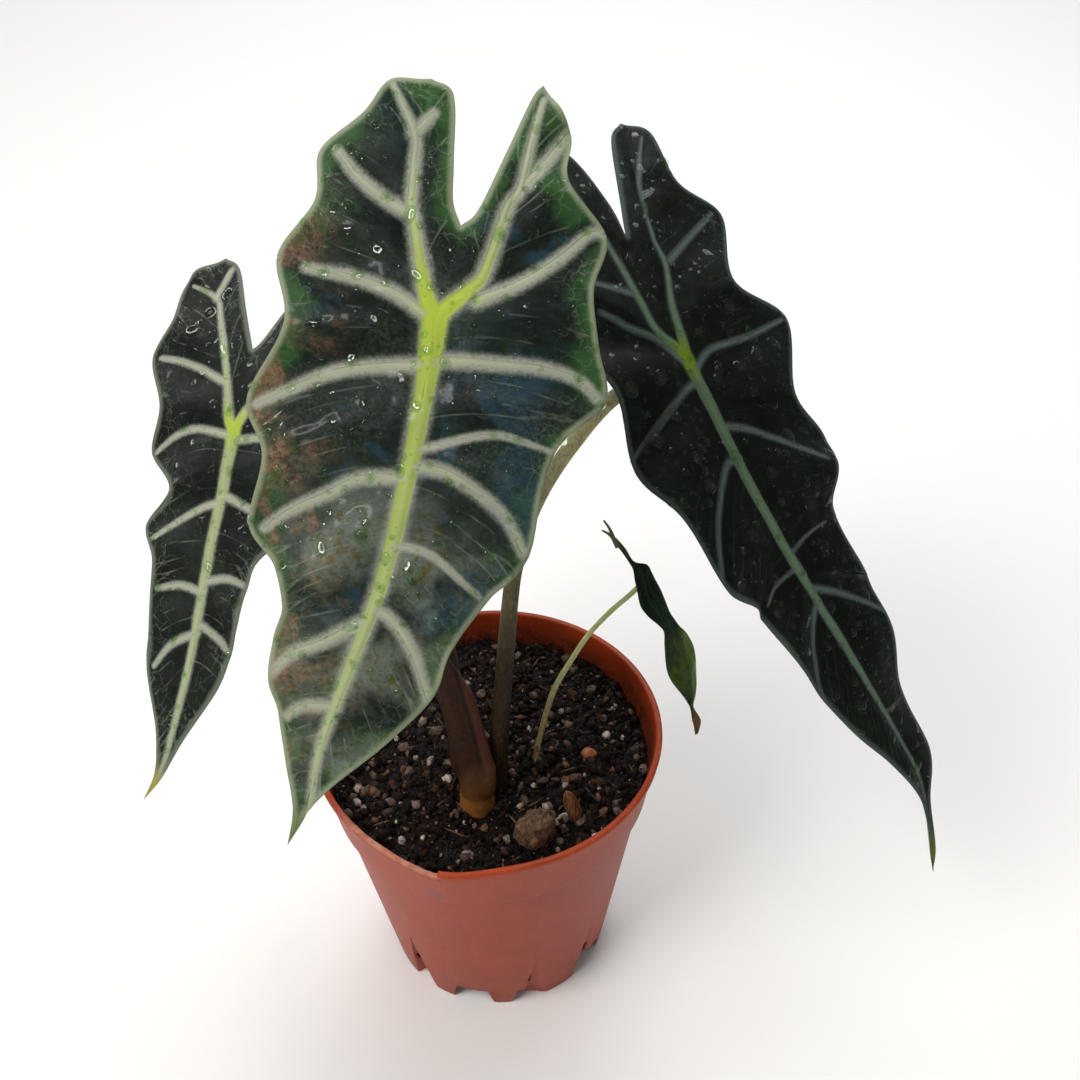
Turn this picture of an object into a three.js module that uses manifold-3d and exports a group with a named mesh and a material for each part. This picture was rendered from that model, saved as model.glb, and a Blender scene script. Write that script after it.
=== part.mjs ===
// Potted polly alocasia: a 12 cm terracotta-coloured nursery pot of peat mix with one plant
// of three arrow-shaped leaves and a young twisted one.
// Millimetres, +Z up. The origin is the centre of the pot's base, on the surface it stands on.
// The front of the plant faces -Y.
import * as THREE from 'three';
import { mergeVertices } from 'three/addons/utils/BufferGeometryUtils.js';
import Module from 'manifold-3d';

const wasm = await Module();
wasm.setup();

// Clearance kept wherever two solids touch.
const GAP = 0.3;

// Pot: a moulded wall with a plain band above a small step, and a thick lip.
const POT_HEIGHT = 105;
const RIM_RADIUS = 60;
const LIP_WIDTH = 2.6;
const LIP_HEIGHT = 3.5;
const LIP_FLARE = 0.9;
const LIP_ROUND = 0.5;
const BAND_BOTTOM = 82;
const BAND_RADIUS = 55.4;
const STEP_HEIGHT = 0.9;
const BODY_TOP_RADIUS = 53.9;
const BASE_RADIUS = 41;
const WALL = 1.4;
const FOOT_WIDTH = 2.6;
const LOWER_RING = 18;

// Floor: a flat disc just above the surface, and round it a ramp up to the wall.
const FLOOR_BOTTOM = 2;
const FLOOR_RADIUS = 27;
const RAMP_BOTTOM = 10.6;
const FLOOR_THICKNESS = 1.4;
const FLOOR_TOP = FLOOR_BOTTOM + FLOOR_THICKNESS;

// The lip is broken away over one stretch at the front left, and the wall there bulges a little.
const BREAK_FROM = -152;
const BREAK_TO = -104;
const BREAK_DROP = 4.6;
const BULGE_AZIMUTH = -103;
const BULGE_DEPTH = 2.6;
const BULGE_SPREAD = 13;

// Flutes: V-shaped folds in the lower wall, each with a slot for draining along its sharp edge.
// Each is [azimuth, width of its slot].
const FLUTES = [[-131, 1.5], [-71, 1.5], [-41, 4.5], [19, 1.5], [79, 1.5], [139, 4.5]];
const FLUTE_TOP = 35;
const FLUTE_HALF_ANGLE = 6.5;
const FLUTE_DEPTH = 3.2;
const SLOT_BOTTOM = 11;
const SLOT_TOP = 17;
const SLOT_OFFSET = -4.2;
const SECTOR_STEP = 10;

// Arches in the skirt between its feet: [azimuth, width, height].
const ARCHES = [
  [-103, 14.5, 10], [-79, 5, 9], [-37, 15, 10], [-11, 14.5, 10], [11, 5, 9], [49, 14.5, 10],
  [71, 5, 9], [109, 14.5, 10], [143, 15, 10], [171, 14.5, 10],
];
const ARCH_REACH = [34.5, 48];
const ARCH_CORNER = 2.5;

// Peat mix.
const SOIL_LEVEL = 92;
const SOIL_BACK_RISE = 2;
const SOIL_RINGS = 4;
const SOIL_UNEVENNESS = 0.5;
const SOIL_CLEARANCE = 0.5;
const FLUTE_CLEARANCE = 1.3;
const SOIL_SEED = 7;
const CRUMBS = 70;
const CRUMB_SIZE = [2, 4.2];
const CRUMB_FLATTENING = [1, 0.85, 0.7];
const CRUMB_SINK = 0.2;
const CRUMB_FIELD = 47;

// Leaf blades.
const BLADE_THICKNESS = 0.8;
const MIDRIB_HALF_WIDTH = 1.8;
const MIDRIB_LIFT = 0.5;
const MIDRIB_KEEL = 0.9;
const VEIN_HALF_WIDTH = 1.2;
const VEIN_LIFT = 0.35;
const VEIN_KEEL = 0.5;
const QUILT_HEIGHT = 1.2;
const ROW_GAP = 9;
const ROW_SHARES = [0, 0, 0.3, 0.56, 0.8, 1];
const TIP_RIB = 0.3;
const LOBE_RIB = 0.8;
const FULL_WAVE_REACH = 22;
const FULL_QUILT_REACH = 25;

// Each big leaf is drawn flat, in mm, seen on its upper face: x to the right, y from the
// junction with the petiole down to the tip. The margin runs from the tip to the lobe's tip,
// the inner edge from the notch to the lobe's tip. A vein is [y of its root on the midrib or on
// the lobe vein, index of the margin point that it runs to, bow towards the lobes].
const FRONT_LEAF = {
  junction: [-4.3, -27, 280.5],
  tip: [-49.6, -89, 157.6],
  facing: [-0.12, -0.87, 0.48],
  bend: 0.12,
  lobeBend: 0.25,
  droop: 0.001,
  wave: 2.2,
  midrib: [[0, 145], [3, 132], [2, 114], [4, 90], [6, 66], [5, 42], [3, 20], [0, 0]],
  left: {
    margin: [[0, 145], [-1.1, 132.9], [-5.7, 120.9], [-11.2, 109.3], [-17.3, 91.8], [-16.7, 79.9],
      [-21, 70.8], [-31.2, 63.4], [-31.3, 44.7], [-40.3, 33.1], [-35.2, 12.2], [-43.1, -3.3],
      [-36.9, -18.2], [-41.1, -31.8], [-32.7, -43.6], [-29, -53.6], [-20, -56.6]],
    lobeVein: [[0, 0], [-9, -14], [-14, -25], [-17, -37], [-20, -56.6]],
    inner: [[-1, -23], [-4.7, -28.2], [-7.8, -38], [-13.3, -54.1], [-20, -56.6]],
    veins: [[101, 3, 1], [77, 4.1, 2], [39, 7, 2], [11, 9, 4], [-4, 11, 0], [-23, 13, 1]],
    innerVeins: [[-42, 3, 0]],
  },
  right: {
    margin: [[0, 145], [2, 135.9], [7.6, 123.3], [18.5, 106.7], [26.1, 92], [27.6, 77.4], [32.7, 62.5],
      [38.8, 49.1], [37.2, 23.3], [45.4, 7.5], [39.7, -5.3], [34.5, -17.8], [33.3, -31.8], [20.6, -41],
      [16.9, -54.2], [6.8, -63.4]],
    lobeVein: [[0, 0], [6, -9], [8, -20], [9, -36], [6.8, -63.4]],
    inner: [[-1, -23], [1.8, -28], [3.8, -44.1], [5.3, -59.2], [6.8, -63.4]],
    veins: [[74, 4, 5], [57, 6, 4], [36, 7, 4], [31, 8, 3], [10, 9, 4], [-13, 12, 1], [-37, 14, 0]],
    innerVeins: [],
  },
};
const LEFT_LEAF = {
  junction: [-73.4, 27, 212.6],
  tip: [-105, -43.5, 123.4],
  facing: [-0.38, -0.66, 0.65],
  bend: 0.12,
  lobeBend: 0.2,
  droop: 0.001,
  wave: 1.8,
  midrib: [[0, 118], [5, 106], [7, 88], [7, 66], [5, 44], [3, 20], [0, 0]],
  left: {
    margin: [[0, 118], [2.6, 106.9], [0.5, 95.8], [-9.7, 78.8], [-9.2, 67.7], [-15.1, 55.9],
      [-15, 44.7], [-23.5, 35.9], [-15.8, 22.8], [-29.8, 13.1], [-29.5, -1.4], [-42.5, -16.7],
      [-37.3, -30], [-41.3, -44.5], [-29, -55]],
    lobeVein: [[0, 0], [-8, -14], [-14, -25], [-23, -38], [-29, -55]],
    inner: [[-4, -26], [-12.1, -38], [-21.7, -52], [-29, -55]],
    veins: [[63, 3, 1], [50, 5, 2], [23, 7, 2], [2, 9, 4], [-14, 11, 0], [-36, 13, 0]],
    innerVeins: [[-38, 2, 0]],
  },
  right: {
    margin: [[0, 118], [5.4, 109], [10.7, 96.3], [18.2, 78.9], [19.7, 67.8], [21.1, 56.9],
      [19.6, 46.5], [25, 30.1], [29, 18], [33, 3], [34, -8], [40, -20], [37, -32], [34, -46],
      [22, -57]],
    lobeVein: [[0, 0], [5, -14], [10, -27], [15, -40], [22, -57]],
    inner: [[-4, -26], [-1.6, -29.7], [4.4, -46.3], [14, -56], [22, -57]],
    veins: [[61, 4, 2], [47, 6, 2], [21, 7, 2], [3, 9, 2], [-14, 11, 0], [-36, 13, 0]],
    innerVeins: [],
  },
};
const RIGHT_LEAF = {
  junction: [66, 38.5, 226.3],
  tip: [146.7, -44, 78.5],
  facing: [0.535, -0.58, 0.615],
  bend: 0.1,
  lobeBend: 0.15,
  droop: 0.001,
  wave: 2,
  midrib: [[0, 189], [7, 163], [7, 148], [2, 114], [-2, 84], [-4, 56], [-3, 28], [0, 0]],
  left: {
    margin: [[0, 189], [3.3, 182.1], [4.7, 170], [3, 159.2], [-2.5, 144.3], [-8.3, 131.7],
      [-14.2, 115.5], [-20.3, 98.1], [-22.4, 80.9], [-28.5, 67.4], [-33.1, 40.2], [-36.7, 20.8],
      [-30.6, -3.2], [-34, -24], [-26, -40], [-24, -56], [-14, -73], [3, -84]],
    lobeVein: [[0, 0], [-4, -13], [-3, -25], [0, -41], [3, -84]],
    inner: [[8, -43], [10.5, -55.2], [10.3, -74.7], [3, -84]],
    veins: [[86, 6, 4], [72, 8, 2], [34, 9, 6], [8, 11, 2], [-3, 13, 2], [-26, 15, 0]],
    innerVeins: [],
  },
  right: {
    margin: [[0, 189], [3.7, 184.1], [8.9, 166.7], [17.9, 151.8], [17.3, 128.6], [24.7, 93.8],
      [21.2, 86.9], [25.1, 65.1], [37.1, 45.1], [31, 26.7], [50.2, 4.9], [34.2, -14.3], [51.7, -36.2],
      [40.7, -52.5], [45.2, -72.9], [38, -79]],
    lobeVein: [[0, 0], [7, -17], [14, -29], [23, -52], [38, -79]],
    inner: [[8, -43], [12.8, -50.7], [28.9, -74], [38, -79]],
    veins: [[130, 4, 1], [81, 5, 1], [67, 7, 2], [24, 8, 2], [4, 10, 1], [-31, 12, 0]],
    innerVeins: [],
  },
};

// Young leaf: a narrow ribbon, rolled at its two lobes, with a turned waist and a curled tip.
// Each station is [x, y, z, width, twist in degrees].
const YOUNG_LEAF = {
  thickness: 0.8,
  stations: [
    [43.8, 23.1, 168.4, 1.6, 10], [46.7, 21.2, 165.3, 1.8, 10], [49.4, 19.2, 161.4, 1.8, 5],
    [51.9, 18.2, 159.8, 5.4, 2], [53.1, 16.3, 157.1, 7.5, 0], [53.8, 14.3, 154.5, 8.6, 0],
    [55.1, 12, 151.3, 9.5, -2], [57.5, 9.7, 148, 8.9, -6], [60, 7.8, 145.2, 7.6, -12],
    [61.9, 6.4, 143.2, 7, -12], [63.7, 4.5, 140.3, 10.6, -6], [64.6, 2.5, 137.1, 12.5, -2],
    [65.4, 0.4, 133.7, 12, 2], [66.4, -1.8, 130.3, 10.4, 4], [67.5, -4, 126.7, 7.7, 2],
    [68.3, -6.3, 123, 3.5, 0], [68.6, -7.8, 120.7, 1.4, 0], [69.8, -9.5, 117.3, 3, 6],
    [70.4, -10.4, 115.1, 2.8, 6], [70.2, -12, 112.3, 1.2, 6],
  ],
  tails: [[43.7, 23, 168.4], [40.5, 26.8, 173.4], [39.9, 24.7, 170.9]],
};

// Petioles: [x, y, z, radius] from their foot in the peat to just under the blade.
const PETIOLES = {
  front: [[-8.5, -8, 84, 4.4], [-9.5, -4, 104, 4.1], [-11.5, 3, 125, 3.6], [-14, 9, 150, 3.4],
    [-15, 9.5, 185, 3.1], [-12, 4, 222, 3], [-8, -5, 254, 2.8]],
  left: [[-3.8, -22.4, 97.8, 5], [-3.8, -22.3, 101, 5], [-6, -18, 108, 4.8], [-10.5, -8, 125, 4.2],
    [-19, 1, 148, 3.6], [-34, 12, 172, 3.2], [-55, 25, 194, 2.9]],
  right: [[2.8, -14.8, 84, 3.4], [3.6, -12.9, 104, 3.3], [5.7, -5.9, 124.6, 3], [7.9, 1.5, 144.8, 2.8],
    [11.4, 10.5, 168.6, 2.6], [18.2, 18.5, 187, 2.5], [29.6, 26, 203.3, 2.5], [45.4, 35, 217, 2.5]],
  young: [[15.9, -4.8, 84, 1.1], [16.2, -4, 94, 1], [23, 6.3, 115.8, 1], [29.3, 10, 126.8, 0.9],
    [35.5, 13, 136, 0.9], [43, 15, 144.5, 0.9]],
};
const PETIOLE_END = 1.4;
const PETIOLE_RUN = 9;
const PETIOLE_SIDES = 8;
const PETIOLE_STEPS = 3;
const SHEATH_WING = 5;
const SHEATH_AZIMUTH = -12;
const SHEATH_TOP = 0.36;

const CORM = { x: -3.8, y: -22.4, radius: 5.7, top: 97.2, bottom: 82 };
const BARK_LUMP = { centre: [16, -36.8, 96.2], size: [6.4, 6.2, 9.6], turn: 25, seed: 3, rough: 0.16 };
const BARK_CHIP = { centre: [28.2, -29.8, 97.2], size: [2.7, 1.6, 9.5], turn: -14, seed: 5, rough: 0.08 };
const STONE = { centre: [35, -2.7, 92.6], size: [3.1, 2.6, 2.4], turn: 40, seed: 9, rough: 0.12 };

const COLOURS = {
  pot: 0xa5553f, soil: 0x241a14, corm: 0xa0691f, petiole: 0x6a4a35, olive: 0x8f8a4c, young: 0x9aa570,
  blade: 0x16261c, darkBlade: 0x131a18, youngBlade: 0x24401f, bark: 0x6f4a30, chip: 0x7c5230,
  stone: 0x9a4a2a,
};

const radians = THREE.MathUtils.degToRad;
const clamp = THREE.MathUtils.clamp;
const lerp = THREE.MathUtils.lerp;

// Seeded random numbers between 0 and 1.
function seeded(seed) {
  let state = seed;
  return () => {
    state = (state * 16807 + 11) % 2147483647;
    return state / 2147483647;
  };
}

function geometryFrom(points, faces) {
  const geometry = new THREE.BufferGeometry();
  const numbers = points.flatMap((p) => [p.x, p.y, p.z]);
  geometry.setAttribute('position', new THREE.Float32BufferAttribute(numbers, 3));
  geometry.setIndex(faces.flat());
  return geometry;
}

// Merges a closed shape's shared corners and turns its faces outwards.
function closed(geometry) {
  const bare = geometry.clone();
  bare.deleteAttribute('normal');
  bare.deleteAttribute('uv');
  const merged = mergeVertices(bare, 1e-4);
  const { index } = merged;
  const corners = [0, 1, 2].map(() => new THREE.Vector3());
  let volume = 0;
  for (let k = 0; k < index.count; k += 3) {
    corners.forEach((corner, j) => corner.fromBufferAttribute(merged.attributes.position, index.getX(k + j)));
    volume += corners[0].dot(corners[1].clone().cross(corners[2]));
  }
  for (let k = 0; volume < 0 && k < index.count; k += 3) {
    const second = index.getX(k + 1);
    index.setX(k + 1, index.getX(k + 2));
    index.setX(k + 2, second);
  }
  return merged;
}

function toSolid(geometry) {
  const merged = closed(geometry);
  return new wasm.Manifold(new wasm.Mesh({
    numProp: 3,
    vertProperties: merged.attributes.position.array,
    triVerts: new Uint32Array(merged.index.array),
  }));
}

function fromSolid(solid) {
  const mesh = solid.getMesh();
  const geometry = new THREE.BufferGeometry();
  geometry.setAttribute('position', new THREE.BufferAttribute(new Float32Array(mesh.vertProperties), 3));
  geometry.setIndex(new THREE.BufferAttribute(new Uint32Array(mesh.triVerts), 1));
  return geometry;
}

function cut(geometry, tools) {
  let solid = toSolid(geometry);
  for (const tool of tools) solid = solid.subtract(toSolid(tool));
  return fromSolid(solid);
}

// Closes a stack of rings, each a list of the same number of points, with a pole at each end.
function ringStack(first, rings, last) {
  const count = rings[0].length;
  const points = [first, ...rings.flat(), last];
  const at = (ring, k) => 1 + ring * count + (k % count);
  const faces = [];
  for (let k = 0; k < count; k += 1) {
    faces.push([0, at(0, k + 1), at(0, k)]);
    faces.push([points.length - 1, at(rings.length - 1, k), at(rings.length - 1, k + 1)]);
    for (let ring = 0; ring + 1 < rings.length; ring += 1) {
      faces.push([at(ring, k), at(ring, k + 1), at(ring + 1, k + 1)]);
      faces.push([at(ring, k), at(ring + 1, k + 1), at(ring + 1, k)]);
    }
  }
  return geometryFrom(points, faces);
}

// Pot and peat share their columns round the pot: a column inside a flute slants with its edge.
function potColumns() {
  const columns = [];
  for (let azimuth = -180; azimuth < 180; azimuth += SECTOR_STEP) {
    const nearFlute = FLUTES.some(([flute]) => Math.abs(azimuth - flute) < FLUTE_HALF_ANGLE + 4);
    const nearBreak = Math.abs(azimuth - BREAK_TO) < 3;
    if (!nearFlute && !nearBreak) columns.push({ azimuth, slant: 0, depth: 0 });
  }
  for (const [azimuth] of FLUTES) {
    columns.push({ azimuth, slant: -1.12, depth: 0 });
    columns.push({ azimuth, slant: -0.95, depth: 1 });
    columns.push({ azimuth, slant: 0.1, depth: 0.75 });
    columns.push({ azimuth, slant: 1.1, depth: 0 });
  }
  columns.push({ azimuth: BREAK_TO - 0.4, slant: 0, depth: 0 });
  columns.push({ azimuth: BREAK_TO, slant: 0, depth: 0 });
  return columns.sort((a, b) => a.azimuth + a.slant - b.azimuth - b.slant);
}

// How far up a flute a height is: 1 at the foot, and a sliver above its point.
function fluteShare(z) {
  return clamp(1 - z / FLUTE_TOP, 0.06, 1);
}

function outerRadius(z) {
  if (z < BAND_BOTTOM) return lerp(BASE_RADIUS, BODY_TOP_RADIUS, z / BAND_BOTTOM);
  const up = (z - BAND_BOTTOM) / (POT_HEIGHT - BAND_BOTTOM);
  return lerp(BAND_RADIUS, RIM_RADIUS - LIP_FLARE, up);
}

// A point of the pot's wall, a distance in from the outside.
function wallPoint(column, z, inwards, extra = 0) {
  const share = fluteShare(z);
  const azimuth = column.azimuth + column.slant * FLUTE_HALF_ANGLE * share;
  const recess = z < FLUTE_TOP ? column.depth * FLUTE_DEPTH * share : 0;
  const off = (azimuth - BULGE_AZIMUTH) / BULGE_SPREAD;
  const bulge = BULGE_DEPTH * Math.exp(-off * off) * clamp(z / POT_HEIGHT, 0, 1) ** 3;
  const radius = outerRadius(z) + extra + bulge - recess - inwards;
  const angle = radians(azimuth);
  return new THREE.Vector3(radius * Math.cos(angle), radius * Math.sin(angle), z);
}

// How much of the lip is gone at an azimuth: 0 where it is whole.
function lipLoss(azimuth) {
  if (azimuth < BREAK_FROM || azimuth >= BREAK_TO) return 0;
  return clamp((azimuth - BREAK_FROM) / 26, 0, 1) ** 0.7;
}

// The ring of the floor's flat disc.
function floorRing(columns, z) {
  return columns.map((column) => wallPoint(column, 0, 0).setZ(0).setLength(FLOOR_RADIUS).setZ(z));
}

// A block through the wall at an azimuth, from one radius to another.
function block(azimuth, reach, width, bottom, top) {
  const shape = new THREE.BoxGeometry(reach[1] - reach[0], width, top - bottom);
  return shape.translate((reach[0] + reach[1]) / 2, 0, (top + bottom) / 2).rotateZ(radians(azimuth));
}

// An arch with slanted upper corners.
function archBlock([azimuth, width, height]) {
  const outline = new THREE.Shape([
    new THREE.Vector2(-width / 2, -1), new THREE.Vector2(width / 2, -1),
    new THREE.Vector2(width / 2, height - ARCH_CORNER), new THREE.Vector2(width / 2 - ARCH_CORNER, height),
    new THREE.Vector2(ARCH_CORNER - width / 2, height), new THREE.Vector2(-width / 2, height - ARCH_CORNER),
  ]);
  const depth = ARCH_REACH[1] - ARCH_REACH[0];
  const shape = new THREE.ExtrudeGeometry(outline, { depth, bevelEnabled: false });
  shape.rotateX(Math.PI / 2).rotateZ(Math.PI / 2).translate(ARCH_REACH[0], 0, 0);
  return shape.rotateZ(radians(azimuth));
}

function potShape() {
  const columns = potColumns();
  const wall = (z, inwards) => columns.map((column) => wallPoint(column, z, inwards));
  const lip = (height, inwards, flare) => columns.map((column) => {
    const loss = lipLoss(column.azimuth);
    const z = POT_HEIGHT + height - loss * BREAK_DROP;
    return wallPoint(column, z, inwards, flare * (1 - loss));
  });
  const rings = [
    floorRing(columns, FLOOR_BOTTOM),
    wall(RAMP_BOTTOM, FOOT_WIDTH),
    wall(0, FOOT_WIDTH),
    wall(0, 0),
    wall(LOWER_RING, 0),
    wall(FLUTE_TOP, 0),
    wall(BAND_BOTTOM - 0.1, 0),
    wall(BAND_BOTTOM + STEP_HEIGHT, 0),
    lip(-LIP_HEIGHT - LIP_ROUND, 0, 0),
    lip(-LIP_HEIGHT, 0, LIP_FLARE),
    lip(-LIP_ROUND, 0, LIP_FLARE),
    lip(0, LIP_ROUND, LIP_FLARE),
    lip(0, LIP_WIDTH - LIP_ROUND, LIP_FLARE),
    wall(BAND_BOTTOM + STEP_HEIGHT, WALL),
    wall(BAND_BOTTOM - 3, WALL),
    wall(FLUTE_TOP, WALL),
    wall(LOWER_RING, WALL),
    wall(RAMP_BOTTOM + FLOOR_THICKNESS, WALL),
    floorRing(columns, FLOOR_TOP),
  ];
  const shell = ringStack(new THREE.Vector3(0, 0, FLOOR_BOTTOM), rings, new THREE.Vector3(0, 0, FLOOR_TOP));
  const slots = FLUTES.map(([azimuth, width]) => {
    const offset = SLOT_OFFSET + THREE.MathUtils.radToDeg(width / 2 / BASE_RADIUS);
    return block(azimuth + offset, ARCH_REACH, width, SLOT_BOTTOM, SLOT_TOP);
  });
  return cut(shell, [...slots, ...ARCHES.map(archBlock)]);
}

// An angular crumb, most of it sunk in the peat, at a seeded place and turn.
function crumbShape(random) {
  const size = lerp(CRUMB_SIZE[0], CRUMB_SIZE[1], random() ** 2);
  const crumb = new THREE.OctahedronGeometry(size, 0).scale(...CRUMB_FLATTENING);
  crumb.rotateX(random() * Math.PI).rotateY(random() * Math.PI).rotateZ(random() * Math.PI);
  const reach = CRUMB_FIELD * Math.sqrt(random());
  const angle = 2 * Math.PI * random();
  const y = reach * Math.sin(angle);
  return crumb.translate(reach * Math.cos(angle), y, soilHeight(y) - CRUMB_SINK * size);
}

function soilHeight(y) {
  return SOIL_LEVEL + SOIL_BACK_RISE * (y / RIM_RADIUS);
}

// The peat fills the pot up to its level. Crumbs that clear the stems' holes stand on its top.
function soilShape(holes) {
  const columns = potColumns();
  const random = seeded(SOIL_SEED);
  const floor = FLOOR_TOP + GAP;
  const wallAt = (z, clearance) => columns.map((column) => wallPoint(column, z, WALL + clearance));
  const rings = [
    floorRing(columns, floor),
    wallAt(RAMP_BOTTOM + FLOOR_THICKNESS + GAP, FLUTE_CLEARANCE),
    wallAt(LOWER_RING, FLUTE_CLEARANCE),
    wallAt(FLUTE_TOP, FLUTE_CLEARANCE),
    wallAt(BAND_BOTTOM - 3.4, SOIL_CLEARANCE),
    wallAt(SOIL_LEVEL - 2.5, SOIL_CLEARANCE),
  ];
  const edge = rings[rings.length - 1];
  for (let step = 1; step < SOIL_RINGS; step += 1) {
    const share = 1 - (step / SOIL_RINGS) ** 1.4;
    rings.push(edge.map((p) => {
      const level = soilHeight(p.y * share) + (random() - 0.5) * SOIL_UNEVENNESS;
      return new THREE.Vector3(p.x * share, p.y * share, level);
    }));
  }
  const top = new THREE.Vector3(0, 0, SOIL_LEVEL);
  let peat = toSolid(cut(ringStack(new THREE.Vector3(0, 0, floor), rings, top), holes));
  const kept = holes.map(toSolid);
  for (let k = 0; k < CRUMBS; k += 1) {
    const crumb = toSolid(crumbShape(random));
    if (kept.every((hole) => hole.intersect(crumb).isEmpty())) peat = peat.add(crumb);
  }
  return fromSolid(peat);
}

// A flat leaf's place in space: its midrib is an arc from the junction to the tip.
function leafFrame(leaf) {
  const junction = new THREE.Vector3(...leaf.junction);
  const chord = new THREE.Vector3(...leaf.tip).sub(junction);
  const length = chord.length();
  const along = chord.normalize();
  const facing = new THREE.Vector3(...leaf.facing);
  facing.addScaledVector(along, -facing.dot(along)).normalize();
  const across = facing.clone().cross(along);
  const start = -radians(leaf.bend) * length / 2;
  return { junction, along, facing, across, start };
}

function leafNormal(leaf, frame, y) {
  const turn = frame.start + radians(y >= 0 ? leaf.bend : leaf.lobeBend) * y;
  return frame.facing.clone().multiplyScalar(Math.cos(turn)).addScaledVector(frame.along, Math.sin(turn));
}

function onLeaf(leaf, frame, x, y, lift) {
  const bend = radians(y >= 0 ? leaf.bend : leaf.lobeBend);
  const turn = frame.start + bend * y;
  const forward = (Math.sin(turn) - Math.sin(frame.start)) / bend;
  const rise = (Math.cos(turn) - Math.cos(frame.start)) / bend;
  return frame.junction.clone()
    .addScaledVector(frame.along, forward)
    .addScaledVector(frame.facing, rise)
    .addScaledVector(frame.across, x)
    .addScaledVector(leafNormal(leaf, frame, y), lift - leaf.droop * x * x);
}

// Uniform Catmull-Rom curve through flat points, read by point index.
function curveThrough(points) {
  const corners = points.map(([x, y]) => new THREE.Vector3(x, y, 0));
  const curve = new THREE.CatmullRomCurve3(corners, false, 'catmullrom', 0.5);
  return (index) => curve.getPoint(clamp(index / (points.length - 1), 0, 1));
}

// x of a spine at a given y, from points ordered by falling y.
function spineThrough(points) {
  const curve = curveThrough(points);
  return (y) => {
    let low = 0;
    let high = points.length - 1;
    for (let step = 0; step < 30; step += 1) {
      const middle = (low + high) / 2;
      if (curve(middle).y > y) low = middle;
      else high = middle;
    }
    return new THREE.Vector3(curve(low).x, y, 0);
  };
}

// Rows of a blade between its spine and an edge. Each row follows the run of the veins.
function rowMap(spine, edge, veins, bounds, wave) {
  const marks = [[bounds[0], bounds[1], 0], ...veins, [bounds[2], bounds[3], 0]];
  return (y) => {
    let k = 0;
    while (k + 2 < marks.length && y < marks[k + 1][0]) k += 1;
    const [near, far] = [marks[k], marks[k + 1]];
    const part = clamp((near[0] - y) / (near[0] - far[0]), 0, 1);
    const root = spine(y);
    const end = edge(lerp(near[1], far[1], part));
    const middle = root.clone().add(end).multiplyScalar(0.5);
    middle.y -= 2 * lerp(near[2], far[2], part);
    const reach = root.distanceTo(end);
    const ribbed = veins.some((vein) => Math.abs(vein[0] - y) < 0.05);
    return { root, middle, end, part, reach, ribbed, wave: wave * clamp(reach / FULL_WAVE_REACH, 0, 1) };
  };
}

function rowStations(from, to, roots) {
  const wanted = [from, to];
  for (const root of roots) wanted.push(root - VEIN_HALF_WIDTH, root, root + VEIN_HALF_WIDTH);
  const inside = wanted.filter((y) => y <= from && y >= to).sort((a, b) => b - a);
  const stations = [];
  for (const y of inside) {
    const last = stations[stations.length - 1];
    if (last !== undefined && last - y < 0.8) {
      if (roots.includes(y) && !roots.includes(last) && last !== from) stations[stations.length - 1] = y;
      continue;
    }
    if (last !== undefined) {
      const parts = Math.ceil((last - y) / ROW_GAP);
      for (let part = 1; part < parts; part += 1) stations.push(lerp(last, y, part / parts));
    }
    stations.push(y);
  }
  return stations;
}

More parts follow.
